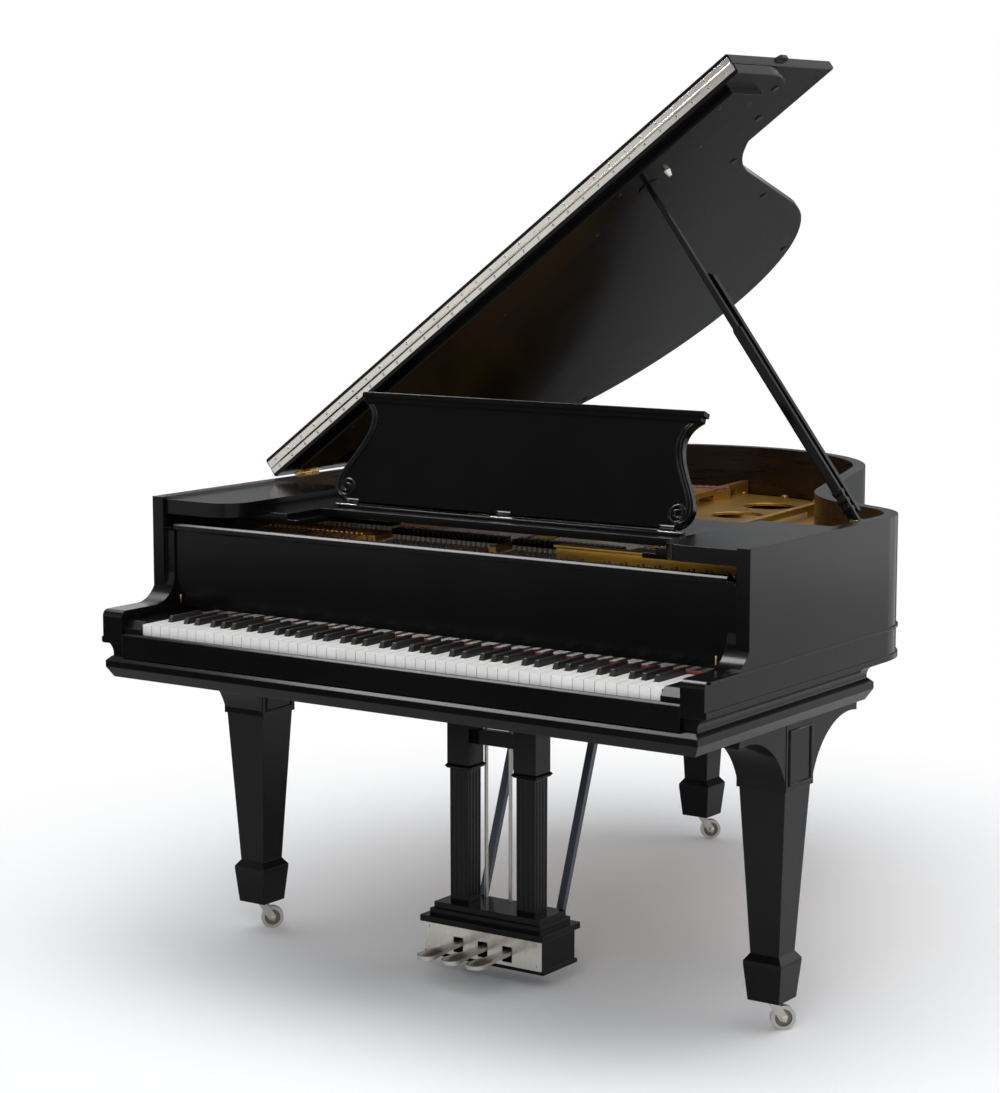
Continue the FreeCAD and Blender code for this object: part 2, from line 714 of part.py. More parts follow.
def key_frame():
    """Front, balance and back rails under the keys, tied by three cleats."""
    half = KEYBOARD_HALF - KEY_GAP
    rail_top = KEY_BOTTOM - RAIL_CLEARANCE
    wide, crest = KEY_DEPTH, KEY_DEPTH / 5
    shoulder = rail_top - wide / 2
    balance = [(BALANCE_Y - wide, KEYBED_TOP), (BALANCE_Y + wide, KEYBED_TOP), (BALANCE_Y + wide, shoulder),
               (BALANCE_Y + crest, rail_top), (BALANCE_Y - crest, rail_top), (BALANCE_Y - wide, shoulder)]
    front = box(-half, half, wide, HEAD_LENGTH + wide, KEYBED_TOP, KEYBED_TOP + wide)
    back = box(-half, half, KEY_LENGTH - 2 * wide, KEY_LENGTH, KEYBED_TOP, shoulder)
    cleats = [box(x - wide, x + wide, HEAD_LENGTH, KEY_LENGTH - wide, KEYBED_TOP, KEYBED_TOP + wide / 2)
              for x in (wide - half, 0, half - wide)]
    return [joined(side_prism(balance, -half, half), [front, back] + cleats)]


def action_stack():
    """Two end brackets, the wippen rail, the hammer rail and 88 wippens."""
    inner = KEYBOARD_HALF + KEY_GAP
    mid, rear = RAIL_FRONT + RAIL_DEPTH / 2, RAIL_FRONT + 2 * RAIL_DEPTH
    rail_top = HAMMER_RAIL_Z + RAIL_DEPTH / 2
    bracket = box(inner, inner + ACTION_WIDTH, RAIL_FRONT, rear, KEYBED_TOP, rail_top)
    low = box(-inner, inner, RAIL_FRONT, mid, WIPPEN_BOTTOM, WIPPEN_BOTTOM + RAIL_DEPTH)
    high = box(-inner, inner, RAIL_FRONT + RAIL_DEPTH, rear, HAMMER_RAIL_Z, rail_top)
    h, top = ACTION_WIDTH / 2, WIPPEN_BOTTOM + WIPPEN_THICKNESS
    wippens = [box(note_x(n) - h, note_x(n) + h, mid, KEY_LENGTH, WIPPEN_BOTTOM, top)
               for n in range(NOTE_COUNT)]
    return [joined(bracket, [mirrored(bracket), low, high])] + wippens


def hammers():
    """Shank on the hammer rail with a tapered felt head under the strike line."""
    shank_z, start = HAMMER_RAIL_Z + RAIL_DEPTH / 2, RAIL_FRONT + RAIL_DEPTH
    h, half = ACTION_WIDTH / 2, HAMMER_SIZE / 2
    outline = [(start, shank_z), (STRIKE_Y + half / 2, shank_z), (STRIKE_Y + half, shank_z + half),
               (STRIKE_Y, HAMMER_TOP), (STRIKE_Y - half, shank_z + half), (STRIKE_Y - half, shank_z + h),
               (start, shank_z + h)]
    return [side_prism(outline, string_x(n) - h, string_x(n) + h) for n in range(NOTE_COUNT)]


def fallboard():
    """Board behind the keys with a nosing at its top and a pivot pin at each end."""
    half = ARM_INNER - SIDE_CLEARANCE
    rear, nose = FALL_FACE_Y + FALL_THICKNESS, FALL_FACE_Y - FALL_NOSE
    lip = FALL_NOSE / 2
    outline = [(FALL_FACE_Y, FALL_BOTTOM), (rear, FALL_BOTTOM), (rear, FALL_TOP - lip),
               (rear - lip, FALL_TOP), (nose + lip, FALL_TOP), (nose, FALL_TOP - lip),
               (nose, FALL_TOP - FALL_NOSE - lip), (FALL_FACE_Y, FALL_TOP - 2 * FALL_NOSE)]
    y, z = FALL_PIVOT_Y, FALL_PIVOT_Z
    pins = [rod(V(s * (half - FALL_PIN_LENGTH), y, z), V(s * (half + FALL_PIN_LENGTH), y, z), FALL_PIN_RADIUS)
            for s in (-1, 1)]
    return [joined(side_prism(outline, -half, half), pins)]


def frame_brace(x):
    """Beam from the belly rail towards the tail leg."""
    start = V(x, BELLY_REAR - BELLY_DEPTH / 2, 0)
    aim = V(TAIL_LEG_X, TAIL_LEG_Y, 0) - start
    side = V(-aim.y, aim.x, 0).normalize() * (BRACE_WIDTH / 2)
    corners = [start + side, start - side, start + aim - side, start + aim + side]
    return plan_prism([(c.x, c.y) for c in corners], BRACE_BOTTOM, BRACE_TOP)


def back_frame():
    """Inner rim, belly rail and the braces that draw together at the tail leg's pad."""
    ring = rim_band(RIM_WALL, RIM_WALL + INNER_RIM_WIDTH, CHEEK_END, RIM_BOTTOM, INNER_RIM_TOP)
    belly = box(-RIM_INNER, RIM_INNER, CHEEK_END, BELLY_REAR, RIM_BOTTOM, INNER_RIM_TOP)
    front = ARM_INNER - SIDE_CLEARANCE
    sill = box(-front, front, BELLY_FRONT, CHEEK_END, KEYBED_TOP, INNER_RIM_TOP)
    spread = 2 * RIM_INNER / (BRACE_COUNT + 1)
    braces = [frame_brace(spread * (i + 1) - RIM_INNER) for i in range(BRACE_COUNT)]
    pad = box(TAIL_LEG_X - 2 * TAIL_PAD, TAIL_LEG_X + 2 * TAIL_PAD,
              TAIL_LEG_Y - TAIL_PAD, TAIL_LEG_Y + TAIL_PAD, RIM_BOTTOM, BRACE_TOP)
    inside = rim_panel(RIM_WALL, CHEEK_END, RIM_BOTTOM, BRACE_TOP)
    return [joined(ring, [belly, sill] + [piece.common(inside) for piece in braces + [pad]])]


def soundboard():
    """Thin board on the inner rim, with its ribs underneath."""
    board = rim_panel(RIM_WALL, BELLY_FRONT, INNER_RIM_TOP, SOUNDBOARD_TOP)
    notch = box(ARM_INNER - SIDE_CLEARANCE, CASE_HALF, BELLY_FRONT, CHEEK_END + SIDE_CLEARANCE,
                INNER_RIM_TOP, SOUNDBOARD_TOP)
    rib_z = INNER_RIM_TOP - RIB_DEPTH
    first = BELLY_REAR + SIDE_CLEARANCE
    inside = rim_panel(RIM_WALL + INNER_RIM_WIDTH + SIDE_CLEARANCE, first, rib_z, INNER_RIM_TOP)
    step = (CASE_TAIL - first) / (RIB_COUNT + 1)
    ribs = []
    for i in range(RIB_COUNT):
        y = first + step * (i + 1) - RIB_WIDTH
        rib = box(-CASE_HALF, CASE_HALF, y, y + RIB_WIDTH, rib_z, INNER_RIM_TOP)
        rib.rotate(V(0, y, 0), UP, -RIB_ANGLE)
        ribs += rib.common(inside).Solids
    return [joined(board.cut(both_sides(notch)), ribs)]


def treble_share(note):
    """0 at the highest treble note, 1 at the lowest."""
    return (NOTE_COUNT - 1 - note) / (NOTE_COUNT - 1 - BASS_NOTES)


def treble_length(note):
    """Speaking length of a treble string, growing by a steady ratio towards the bass."""
    return SHORTEST_STRING * (LONGEST_TREBLE / SHORTEST_STRING) ** treble_share(note)


def treble_angle(note):
    return math.radians(STRING_ANGLE_LEAST + (STRING_ANGLE_MOST - STRING_ANGLE_LEAST) * treble_share(note))


def treble_point(note, length):
    """Point of a treble string at a length behind the strike line."""
    a = treble_angle(note)
    return string_x(note) - math.sin(a) * length, STRIKE_Y + math.cos(a) * length


def bass_point(note, share):
    """Point of an overstrung bass string, from the pin deck's middle (0) to its hitch (1)."""
    rank = note / BASS_NOTES
    x0, y0 = string_x(note), PLATE_FRONT + PIN_BLOCK_LENGTH / 2
    x1, y1 = BASS_END_X + BASS_END_SPAN * rank, BASS_END_Y + BASS_END_RISE * rank
    return x0 + (x1 - x0) * share, y0 + (y1 - y0) * share


def bass_x(note, y):
    """Where an overstrung bass string crosses a line of constant y."""
    (x0, y0), (x1, y1) = bass_point(note, 0.0), bass_point(note, 1.0)
    return x0 + (x1 - x0) * (y - y0) / (y1 - y0)


def ribbon(points, width, z0, z1):
    """Upright strip of even width along a run of plan points."""
    left, right = [], []
    for i, (x, y) in enumerate(points):
        before, after = points[max(i - 1, 0)], points[min(i + 1, len(points) - 1)]
        along = V(after[0] - before[0], after[1] - before[1], 0).normalize()
        side = V(-along.y, along.x, 0) * (width / 2)
        left.append((x + side.x, y + side.y))
        right.append((x - side.x, y - side.y))
    return plan_prism(left + right[::-1], z0, z1)


def bridges():
    """Long treble bridge under the ends of the speaking lengths, and the raised bass bridge."""
    top = STRING_Z - STRING_RADIUS
    treble = [treble_point(n, treble_length(n)) for n in range(BASS_NOTES, NOTE_COUNT, BRIDGE_STATION)]
    bass = [bass_point(n, BASS_BRIDGE_SHARE) for n in range(0, BASS_NOTES, BRIDGE_STATION)]
    return [ribbon(treble, BRIDGE_WIDTH, SOUNDBOARD_TOP, top),
            ribbon(bass, BRIDGE_WIDTH, SOUNDBOARD_TOP, top + BASS_LIFT)]


def unison(note):
    """How many strings a note has."""
    if note < BASS_SINGLE:
        return 1
    return 2 if note < BASS_NOTES else 3


def unison_shift(note, k):
    return (k - (unison(note) - 1) / 2) * UNISON_STEP


def pin_spot(note, k):
    """Tuning pin of string k of a note: the rows step back from string to string."""
    row = (note * unison(note) + k) % PIN_ROWS
    return string_x(note) + unison_shift(note, k), PLATE_FRONT + PIN_ROW_STEP * (row + 2)


def wire(x0, y0, x1, y1, z):
    """One string as a thin three-sided bar."""
    r = STRING_RADIUS
    along = V(x1 - x0, y1 - y0, 0)
    side = V(-along.y, along.x, 0).normalize() * r
    start = V(x0, y0, z)
    corners = [start + side - UP * r, start - side - UP * r, start + UP * r]
    return face_of(corners).extrude(along)


def string(note, k):
    """String k of a note, from its bearing bar over its bridge to its hitch."""
    shift = unison_shift(note, k)
    if note < BASS_NOTES:
        x0, x1, y1 = bass_x(note, BEARING_Y), *bass_point(note, 1.0)
        return wire(x0 + shift, BEARING_Y, x1 + shift, y1, STRING_Z + BASS_LIFT)
    x0 = string_x(note) + math.tan(treble_angle(note)) * (STRIKE_Y - BEARING_Y)
    x1, y1 = treble_point(note, treble_length(note) + 2 * BRIDGE_WIDTH)
    return wire(x0 + shift, BEARING_Y, x1 + shift, y1, STRING_Z)


def strings(first, last):
    return [string(note, k) for note in range(first, last) for k in range(unison(note))]


def tuning_pins():
    h = TUNING_PIN_SIDE / 2
    top = STRING_Z + TUNING_PIN_RISE
    out = []
    for note in range(NOTE_COUNT):
        for k in range(unison(note)):
            x, y = pin_spot(note, k)
            out.append(box(x - h, x + h, y - h, y + h, PLATE_DECK_TOP, top))
    return out


def dampers():
    """Row of damper heads that rest on the strings behind the strike line."""
    h = ACTION_WIDTH / 2
    out = []
    for note in range(DAMPED_NOTES):
        z = STRING_Z + STRING_RADIUS + RAIL_CLEARANCE
        behind = HAMMER_SIZE + DAMPER_DEPTH / 2
        x, y = treble_point(note, behind)
        if note < BASS_NOTES:
            z += BASS_LIFT
            x = bass_x(note, y)
        out.append(box(x - h, x + h, y - DAMPER_DEPTH / 2, y + DAMPER_DEPTH / 2, z, z + DAMPER_HEIGHT))
    return out


def pinblock():
    half = ARM_INNER - SIDE_CLEARANCE
    return [box(-half, half, PLATE_FRONT + SIDE_CLEARANCE, PIN_BLOCK_REAR,
                PIN_BLOCK_TOP - PIN_BLOCK_DEPTH, PIN_BLOCK_TOP)]


def plate_strut(note):
    """Bar over the bridge between two string sections, with a foot on the deck and on the web."""
    x = (string_x(note) + string_x(note - 1)) / 2
    a = treble_angle(note)
    lead = STRIKE_Y - PIN_BLOCK_REAR + STRUT_WIDTH
    reach = CASE_TAIL - STRIKE_Y
    run = [(x + math.tan(a) * lead, STRIKE_Y - lead), (x - math.tan(a) * reach, STRIKE_Y + reach)]
    low = STRING_Z + STRING_RADIUS + RAIL_CLEARANCE
    bar = ribbon(run, STRUT_WIDTH, low, STRUT_TOP)
    foot = ribbon(run, STRUT_WIDTH, PLATE_WEB_TOP - PLATE_DECK, low)
    rest = rim_band(PLATE_INSET, PLATE_INSET + PLATE_WEB, BELLY_REAR, PLATE_WEB_TOP - PLATE_DECK, low)
    deck = box(-ARM_INNER, ARM_INNER, PLATE_FRONT, PIN_BLOCK_REAR, PIN_BLOCK_TOP, low)
    inside = rim_panel(PLATE_INSET, PLATE_FRONT, low, STRUT_TOP)
    return [bar.common(inside), foot.common(rest), foot.common(deck)]


def bearing_bars():
    """Bars on the pin deck that the strings bear on: low for the treble, high for the bass."""
    y0 = BEARING_Y
    middle = (string_x(BASS_NOTES) + string_x(BASS_NOTES - 1)) / 2
    half = KEYBOARD_HALF
    top = STRING_Z - STRING_RADIUS
    bass = box(-half, middle, y0, y0 + BEARING_DEPTH, PLATE_DECK_TOP, top + BASS_LIFT)
    return [bass, box(middle, half, y0, y0 + BEARING_DEPTH, PLATE_DECK_TOP, top)]


def cast_plate():
    """Iron plate: pin deck in front, web along the bent side and tail, struts between."""
    half = ARM_INNER - 2 * SIDE_CLEARANCE
    deck = box(-half, half, PLATE_FRONT, PIN_BLOCK_REAR, PIN_BLOCK_TOP, PLATE_DECK_TOP)
    front = CHEEK_END + SIDE_CLEARANCE
    web_z = PLATE_WEB_TOP - PLATE_DECK
    web = rim_band(PLATE_INSET, PLATE_INSET + PLATE_WEB, front, web_z, PLATE_WEB_TOP)
    flange = rim_band(PLATE_INSET, PLATE_INSET + 2 * PLATE_DECK, front, SOUNDBOARD_TOP, PLATE_WEB_TOP)
    horn = box(half - PLATE_HORN, half, PIN_BLOCK_REAR, front + PLATE_DECK, web_z, PLATE_DECK_TOP)
    struts = [piece for note in STRUT_NOTES for piece in plate_strut(note)]
    return [joined(deck, [web, flange] + struts + bearing_bars() + both_sides(horn))]


def lid_turn(shape):
    """Swings a piece of the closed lid up to the propped angle."""
    shape.rotate(V(HINGE_X, 0, LID_BOTTOM), V(0, 1, 0), -LID_OPEN)
    return shape


def flap_turn(shape):
    """Folds a piece of the closed flap back on the lid, then raises it with the lid."""
    shape.rotate(V(0, FOLD_Y, FLAP_AXIS_Z), V(1, 0, 0), -180.0)
    return lid_turn(shape)


def hinge_places():
    """Middles of the lid hinges, shared evenly along the straight bass side."""
    spine_end = rim_run(0, FOLD_Y, 0)[-1].BoundBox.YMax
    step = (spine_end - FOLD_Y) / HINGE_COUNT
    return [FOLD_Y + step * (i + 0.5) for i in range(HINGE_COUNT)]


def hinge_room(y):
    """Room in the lid's lower bass edge for one hinge's knuckles."""
    reach = HINGE_RADIUS + SIDE_CLEARANCE
    half = HINGE_LENGTH / 2 + SIDE_CLEARANCE
    z0, z1 = LID_BOTTOM - reach, LID_BOTTOM + reach
    return box(HINGE_X - LID_OVERHANG, HINGE_X + reach, y - half, y + half, z0, z1)


def lid_main():
    """Main lid with broken edges, notched over the hinges."""
    slope = LID_SLOPE - LID_OVERHANG
    levels = [(slope, LID_BOTTOM), (-LID_OVERHANG, LID_BOTTOM + LID_SLOPE),
              (-LID_OVERHANG, LID_TOP - LID_SLOPE), (slope, LID_TOP)]
    board = rim_plate(levels, FOLD_Y + FOLD_GAP)
    return [lid_turn(board.cut([hinge_room(y) for y in hinge_places()]))]


def lid_flap():
    """Front part of the lid, lying upside down on the main part, with a small lifting block."""
    rear, s = FOLD_Y - FOLD_GAP, LID_SLOPE
    levels = [(s, LID_BOTTOM), (0, LID_BOTTOM + s), (0, LID_TOP - s), (s, LID_TOP)]
    board = ruled([level_wire(d - LID_HALF, LID_HALF - d, FLAP_FRONT + d, rear, z) for d, z in levels])
    middle, h = (FLAP_FRONT + rear) / 2, LIFT_BLOCK_LENGTH / 2
    inner, outer = LID_HALF - s, LID_HALF + LID_OVERHANG
    outline = [(inner, middle - h), (outer, middle - h / 2), (outer, middle + h / 2), (inner, middle + h)]
    lift = plan_prism(outline, LID_BOTTOM + s, LID_BOTTOM + LID_THICKNESS / 2)
    return [flap_turn(joined(board, [lift]))]


def long_hinge_half(sign):
    """Leaf on the edge of the lid (1) or flap (-1), with every second knuckle on its own tab."""
    outer, inner = FOLD_Y + sign * FOLD_GAP, FOLD_Y + sign * (FOLD_GAP - FLAP_LEAF)
    y0, y1 = min(outer, inner), max(outer, inner)
    below = FLAP_AXIS_Z - FLAP_KNUCKLE - RAIL_CLEARANCE
    reach = LID_HALF - LID_SLOPE
    leaf = box(-reach, reach, y0, y1, below - FLAP_LEAF_DEPTH, below)
    step = reach / FLAP_KNUCKLES
    pieces = []
    for i in range(FLAP_KNUCKLES):
        x0 = step * (2 * i + (sign + 1) // 2) - reach + SIDE_CLEARANCE
        x1 = x0 + step - 2 * SIDE_CLEARANCE
        pieces.append(box(x0, x1, y0, y1, below, FLAP_AXIS_Z))
        pieces.append(rod(V(x0, FOLD_Y, FLAP_AXIS_Z), V(x1, FOLD_Y, FLAP_AXIS_Z), FLAP_KNUCKLE))
    return joined(leaf, pieces)


def flap_hinge():
    return [flap_turn(long_hinge_half(-1))]


def lid_batten():
    """Stiffening board across the front of the lid's underside."""
    half = RIM_INNER - LID_OVERHANG
    lip, low = LID_BOTTOM - BATTEN_THICKNESS / 2, LID_BOTTOM - BATTEN_THICKNESS
    rear = BATTEN_FRONT + BATTEN_DEPTH
    outline = [(BATTEN_FRONT, LID_BOTTOM), (rear, LID_BOTTOM), (rear, lip),
               (rear - BATTEN_THICKNESS / 2, low), (BATTEN_FRONT, low)]
    return [lid_turn(side_prism(outline, -half, half))]


PROP_PIVOT = V(PROP_PIVOT_X, PROP_Y, PROP_PIVOT_Z)


def prop_reach():
    """Distances from the lid hinge along the lid to the prop, and from the prop's pivot up to the lid."""
    a = math.radians(LID_OPEN)
    dx, dz = PROP_PIVOT_X - HINGE_X, PROP_PIVOT_Z - LID_BOTTOM
    return dx * math.cos(a) + dz * math.sin(a), dx * math.sin(a) - dz * math.cos(a)


def lid_bumpers():
    """Round stops under the lid, over the middle of each bent stretch of the rim's top."""
    height = LID_GAP - SIDE_CLEARANCE
    bumpers = []
    for edge in rim_run(RIM_WALL / 2, FOLD_Y, LID_BOTTOM)[1:-1]:
        spot = edge.valueAt((edge.FirstParameter + edge.LastParameter) / 2)
        bumpers.append(Part.makeCylinder(BUMPER_RADIUS, height, spot, UP * -1))
    return bumpers


def lid_leaf(y):
    """Lid half of one hinge: a plate under the lid and the two outer knuckles."""
    h, third = HINGE_LENGTH / 2, HINGE_LENGTH / 3
    x0 = HINGE_X + HINGE_RADIUS
    low = LID_BOTTOM - HINGE_LEAF
    pieces = []
    for s in (-1, 1):
        y0, y1 = sorted((y + s * h, y + s * (h - third + SIDE_CLEARANCE)))
        pieces.append(rod(V(HINGE_X, y0, LID_BOTTOM), V(HINGE_X, y1, LID_BOTTOM), HINGE_RADIUS))
        pieces.append(box(HINGE_X, x0 + HINGE_RADIUS, y0, y1, low, LID_BOTTOM))
    plate = box(x0 + SIDE_CLEARANCE, x0 + HINGE_LEAF_DEPTH, y - h, y + h, low, LID_BOTTOM)
    return joined(plate, pieces)


def lid_fittings():
    """Lid leaves of the hinges, the long hinge's lid leaf, bumpers, and the prop's cup and knob."""
    cup_x = HINGE_X + prop_reach()[0]
    under = LID_BOTTOM - BATTEN_THICKNESS
    cup = post_rod(cup_x, PROP_Y, under - CUP_THICKNESS, under, CUP_RADIUS)
    knob = Part.makeCone(BUMPER_RADIUS, BUMPER_RADIUS / 2, KNOB_HEIGHT,
                         V(cup_x + KNOB_SPACING, PROP_Y, under), UP * -1)
    pieces = [cup, knob, long_hinge_half(1)] + lid_bumpers() + [lid_leaf(y) for y in hinge_places()]
    return [lid_turn(piece) for piece in pieces]


def rim_leaf(y):
    """Rim half of one hinge: a plate on the outside of the case and the middle knuckle."""
    h, third = HINGE_LENGTH / 2, HINGE_LENGTH / 3
    y0, y1 = y - h + third, y + h - third
    x = -CASE_HALF
    plate_top = RIM_TOP - HINGE_RADIUS
    plate = box(x - HINGE_LEAF, x, y - h, y + h, RIM_TOP - HINGE_LEAF_DEPTH, plate_top)
    barrel = rod(V(HINGE_X, y0, LID_BOTTOM), V(HINGE_X, y1, LID_BOTTOM), HINGE_RADIUS)
    neck = box(HINGE_X - HINGE_RADIUS / 2, x, y0, y1, plate_top - HINGE_RADIUS, LID_BOTTOM - HINGE_RADIUS / 2)
    return joined(plate, [barrel, neck])


def prop_bracket():
    """Two ears on the inside of the rim and the pin that the long prop turns on."""
    gap = PROP_THICKNESS / 2 + RAIL_CLEARANCE
    z0, z1 = PROP_PIVOT_Z - PROP_EYE, PROP_PIVOT_Z + PROP_EYE
    x0, x1 = PROP_PIVOT_X - PROP_EYE, RIM_INNER
    ears = [box(x0, x1, PROP_Y - gap - BRACKET_METAL, PROP_Y - gap, z0, z1),
            box(x0, x1, PROP_Y + gap, PROP_Y + gap + BRACKET_METAL, z0, z1)]
    back = box(x1 - BRACKET_METAL, x1, PROP_Y - gap, PROP_Y + gap, z0, z1)
    pin = rod(PROP_PIVOT - V(0, gap, 0), PROP_PIVOT + V(0, gap, 0), PROP_PIN)
    return joined(back, ears + [pin])


def rim_fittings():
    return [rim_leaf(y) for y in hinge_places()] + [prop_bracket()]


def prop_turn(shape):
    """Leans a prop, drawn upright over its pivot, until it stands square to the lid."""
    shape.rotate(PROP_PIVOT, V(0, 1, 0), -LID_OPEN)
    return shape


def long_prop():
    """Square stick with a round eye at its pivot and a tapered tip under the lid's cup."""
    length = prop_reach()[1] - BATTEN_THICKNESS - CUP_THICKNESS - PROP_TIP_GAP
    half, tip, thick = PROP_WIDTH / 2, PROP_TIP_WIDTH / 2, PROP_THICKNESS / 2
    x, y, z = PROP_PIVOT
    neck, top = z + length - PROP_TIP_TAPER, z + length
    outline = [(x - half, z), (x + half, z), (x + half, neck), (x + tip, top), (x - tip, top),
               (x - half, neck)]
    start, end = V(x, y - thick, z), V(x, y + thick, z)
    stick = joined(front_prism(outline, y - thick, y + thick), [rod(start, end, half)])
    return [prop_turn(stick.cut(rod(start, end, PROP_PIN + PIN_CLEARANCE)))]


def short_prop_y():
    """Front face of the short prop, clear of the bracket's rear ear."""
    return PROP_Y + PROP_THICKNESS / 2 + BRACKET_METAL + 2 * RAIL_CLEARANCE


def short_prop():
    """Short stick that lies along the long prop's rear side, for the half-open lid."""
    y0 = short_prop_y()
    y1 = y0 + SHORT_PROP_THICKNESS
    half = SHORT_PROP_WIDTH / 2
    x, z = PROP_PIVOT_X, PROP_PIVOT_Z + SHORT_PROP_RISE
    outline = [(x - half, z - half), (x + half, z - half), (x + half, z + SHORT_PROP - half),
               (x, z + SHORT_PROP), (x - half, z + SHORT_PROP - half)]
    pin = rod(V(x, PROP_Y + PROP_THICKNESS / 2 + RAIL_CLEARANCE, z), V(x, y1, z), PROP_PIN)
    return [prop_turn(joined(front_prism(outline, y0, y1), [pin]))]


def side_shelf():
    """Treble shelf beside the music desk, with a rounded inner front and the desk's runner."""
    front, rear, r = ARM_FACE_Y, SIDE_SHELF_REAR, SIDE_SHELF_ROUND
    z0, inner, outer = SIDE_SHELF_BOTTOM, SIDE_SHELF_INNER, RIM_INNER
    bend = r - r * DIAGONAL
    points = [V(outer, front, z0), V(outer, rear, z0), V(inner, rear, z0), V(inner, front + r, z0),
              V(inner + r, front, z0)]
    middle = V(inner + bend, front + bend, z0)
    board = Part.Face(chain_wire(points, {3: middle})).extrude(UP * SIDE_SHELF_THICKNESS)
    guide = inner - RUNNER_LIP
    ledge, ledge_top, lip_top = guide - RUNNER_LEDGE, RUNNER_Z + RUNNER_THICKNESS, z0 + RUNNER_LIP_RISE
    section = [(ledge, RUNNER_Z), (inner + r, RUNNER_Z), (inner + r, z0), (inner, z0), (inner, lip_top),
               (guide, lip_top), (guide, ledge_top), (ledge, ledge_top)]
    runner = front_prism(section, SHELF_FRONT - RUNNER_LEAD, rear)
    foot = box(ARM_INNER, RIM_INNER, front + r / 2, CHEEK_END, CHEEK_TOP, z0)
    return joined(board, [runner, foot])


def desk_hinge_places():
    return [-DESK_NECK_HALF, 0.0, DESK_NECK_HALF]


def desk_shelf():
    """Sliding shelf under the music desk, with the seats of its three small hinges."""
    r = DESK_THICKNESS
    outline = [(-SHELF_HALF, SHELF_REAR), (-SHELF_HALF, SHELF_FRONT + r), (r - SHELF_HALF, SHELF_FRONT),
               (SHELF_HALF - r, SHELF_FRONT), (SHELF_HALF, SHELF_FRONT + r), (SHELF_HALF, SHELF_REAR)]
    h, w = DESK_HINGE_LENGTH / 2, 2 * DESK_HINGE_RADIUS
    top = DESK_AXIS_Z - DESK_HINGE_RADIUS - RAIL_CLEARANCE
    y0, y1 = DESK_Y - w, DESK_Y - RAIL_CLEARANCE
    seats = [box(x - h, x + h, y0, y1, SHELF_TOP, top) for x in desk_hinge_places()]
    return [joined(plan_prism(outline, SHELF_BOTTOM, SHELF_TOP), seats)]


def desk_turn(shape):
    """Leans the music desk, drawn upright on its hinge, back to its reading angle."""
    shape.rotate(V(0, DESK_Y, DESK_AXIS_Z), V(1, 0, 0), -DESK_LEAN)
    return shape


def desk_outline(y):
    """Front view of the desk: straight foot and head, with double-curved sides."""
    z0 = DESK_AXIS_Z - DESK_FOOT_DROP
    rise = DESK_HEIGHT - DESK_CORNICE
    bends = [(DESK_FOOT_HALF, 0.0), (DESK_VOLUTE_HALF, VOLUTE_SHARE),
             (DESK_VOLUTE_HALF - SWEEP_IN, SWEEP_SHARE), (DESK_NECK_HALF, NECK_SHARE), (DESK_HEAD_HALF, 1.0)]
    edges = []
    for s in (-1, 1):
        curve = Part.BSplineCurve()
        curve.interpolate([V(s * x, y, z0 + rise * share) for x, share in bends])
        edges.append(curve.toShape())
    for half, z in ((DESK_FOOT_HALF, z0), (DESK_HEAD_HALF, z0 + rise)):
        edges.append(Part.makeLine(V(-half, y, z), V(half, y, z)))
    return wire_of(edges)


def strut_place():
    """How far up the desk and behind its middle the strut turns."""
    back = DESK_THICKNESS / 2 + STRUT_BAR / 2 + RAIL_CLEARANCE
    return math.sqrt(STRUT_ARM ** 2 - back ** 2), back


def strut_lug():
    """Ear on the back of the desk, bored for one end of the strut."""
    up, back = strut_place()
    y, z = DESK_Y + back, DESK_AXIS_Z + up
    x0 = STRUT_SPREAD + STRUT_BAR
    h = STRUT_BAR / 2 + STRUT_LUG_WALL
    ear = box(x0, x0 + STRUT_LUG, DESK_Y + DESK_THICKNESS / 2, y + h, z - STRUT_LUG, z + STRUT_LUG)
    return ear.cut(rod(V(x0, y, z), V(x0 + STRUT_LUG, y, z), STRUT_BAR / 2 + PIN_CLEARANCE))


def music_desk():
    """Desk panel with a stepped cornice, hinge barrels at its foot and ears for the strut."""
    front, rear = DESK_Y - DESK_THICKNESS / 2, DESK_Y + DESK_THICKNESS / 2
    panel = Part.Face(desk_outline(front)).extrude(V(0, DESK_THICKNESS, 0))
    base = DESK_AXIS_Z - DESK_FOOT_DROP + DESK_HEIGHT - DESK_CORNICE
    step = DESK_CORNICE / 2
    half, out = DESK_HEAD_HALF, DESK_CORNICE_OUT
    low = box(-half, half, front - out / 2, rear, base, base + step)
    high = box(-half - out, half + out, front - out, rear, base + step, base + 2 * step)
    h = DESK_HINGE_LENGTH / 2
    z = DESK_AXIS_Z
    g = SIDE_CLEARANCE
    rooms = [box(x - h - g, x + h + g, front, rear, z - DESK_FOOT_DROP, z) for x in desk_hinge_places()]
    barrels = [rod(V(x - h, DESK_Y, z), V(x + h, DESK_Y, z), DESK_HINGE_RADIUS) for x in desk_hinge_places()]
    return [desk_turn(joined(panel.cut(rooms), [low, high] + barrels + both_sides(strut_lug())))]


def strut_pivot():
    """The strut's pivot behind the leaning desk, as (y, z)."""
    a = math.radians(DESK_LEAN)
    up, back = strut_place()
    return DESK_Y + math.sin(a) * up + math.cos(a) * back, DESK_AXIS_Z + math.cos(a) * up - math.sin(a) * back


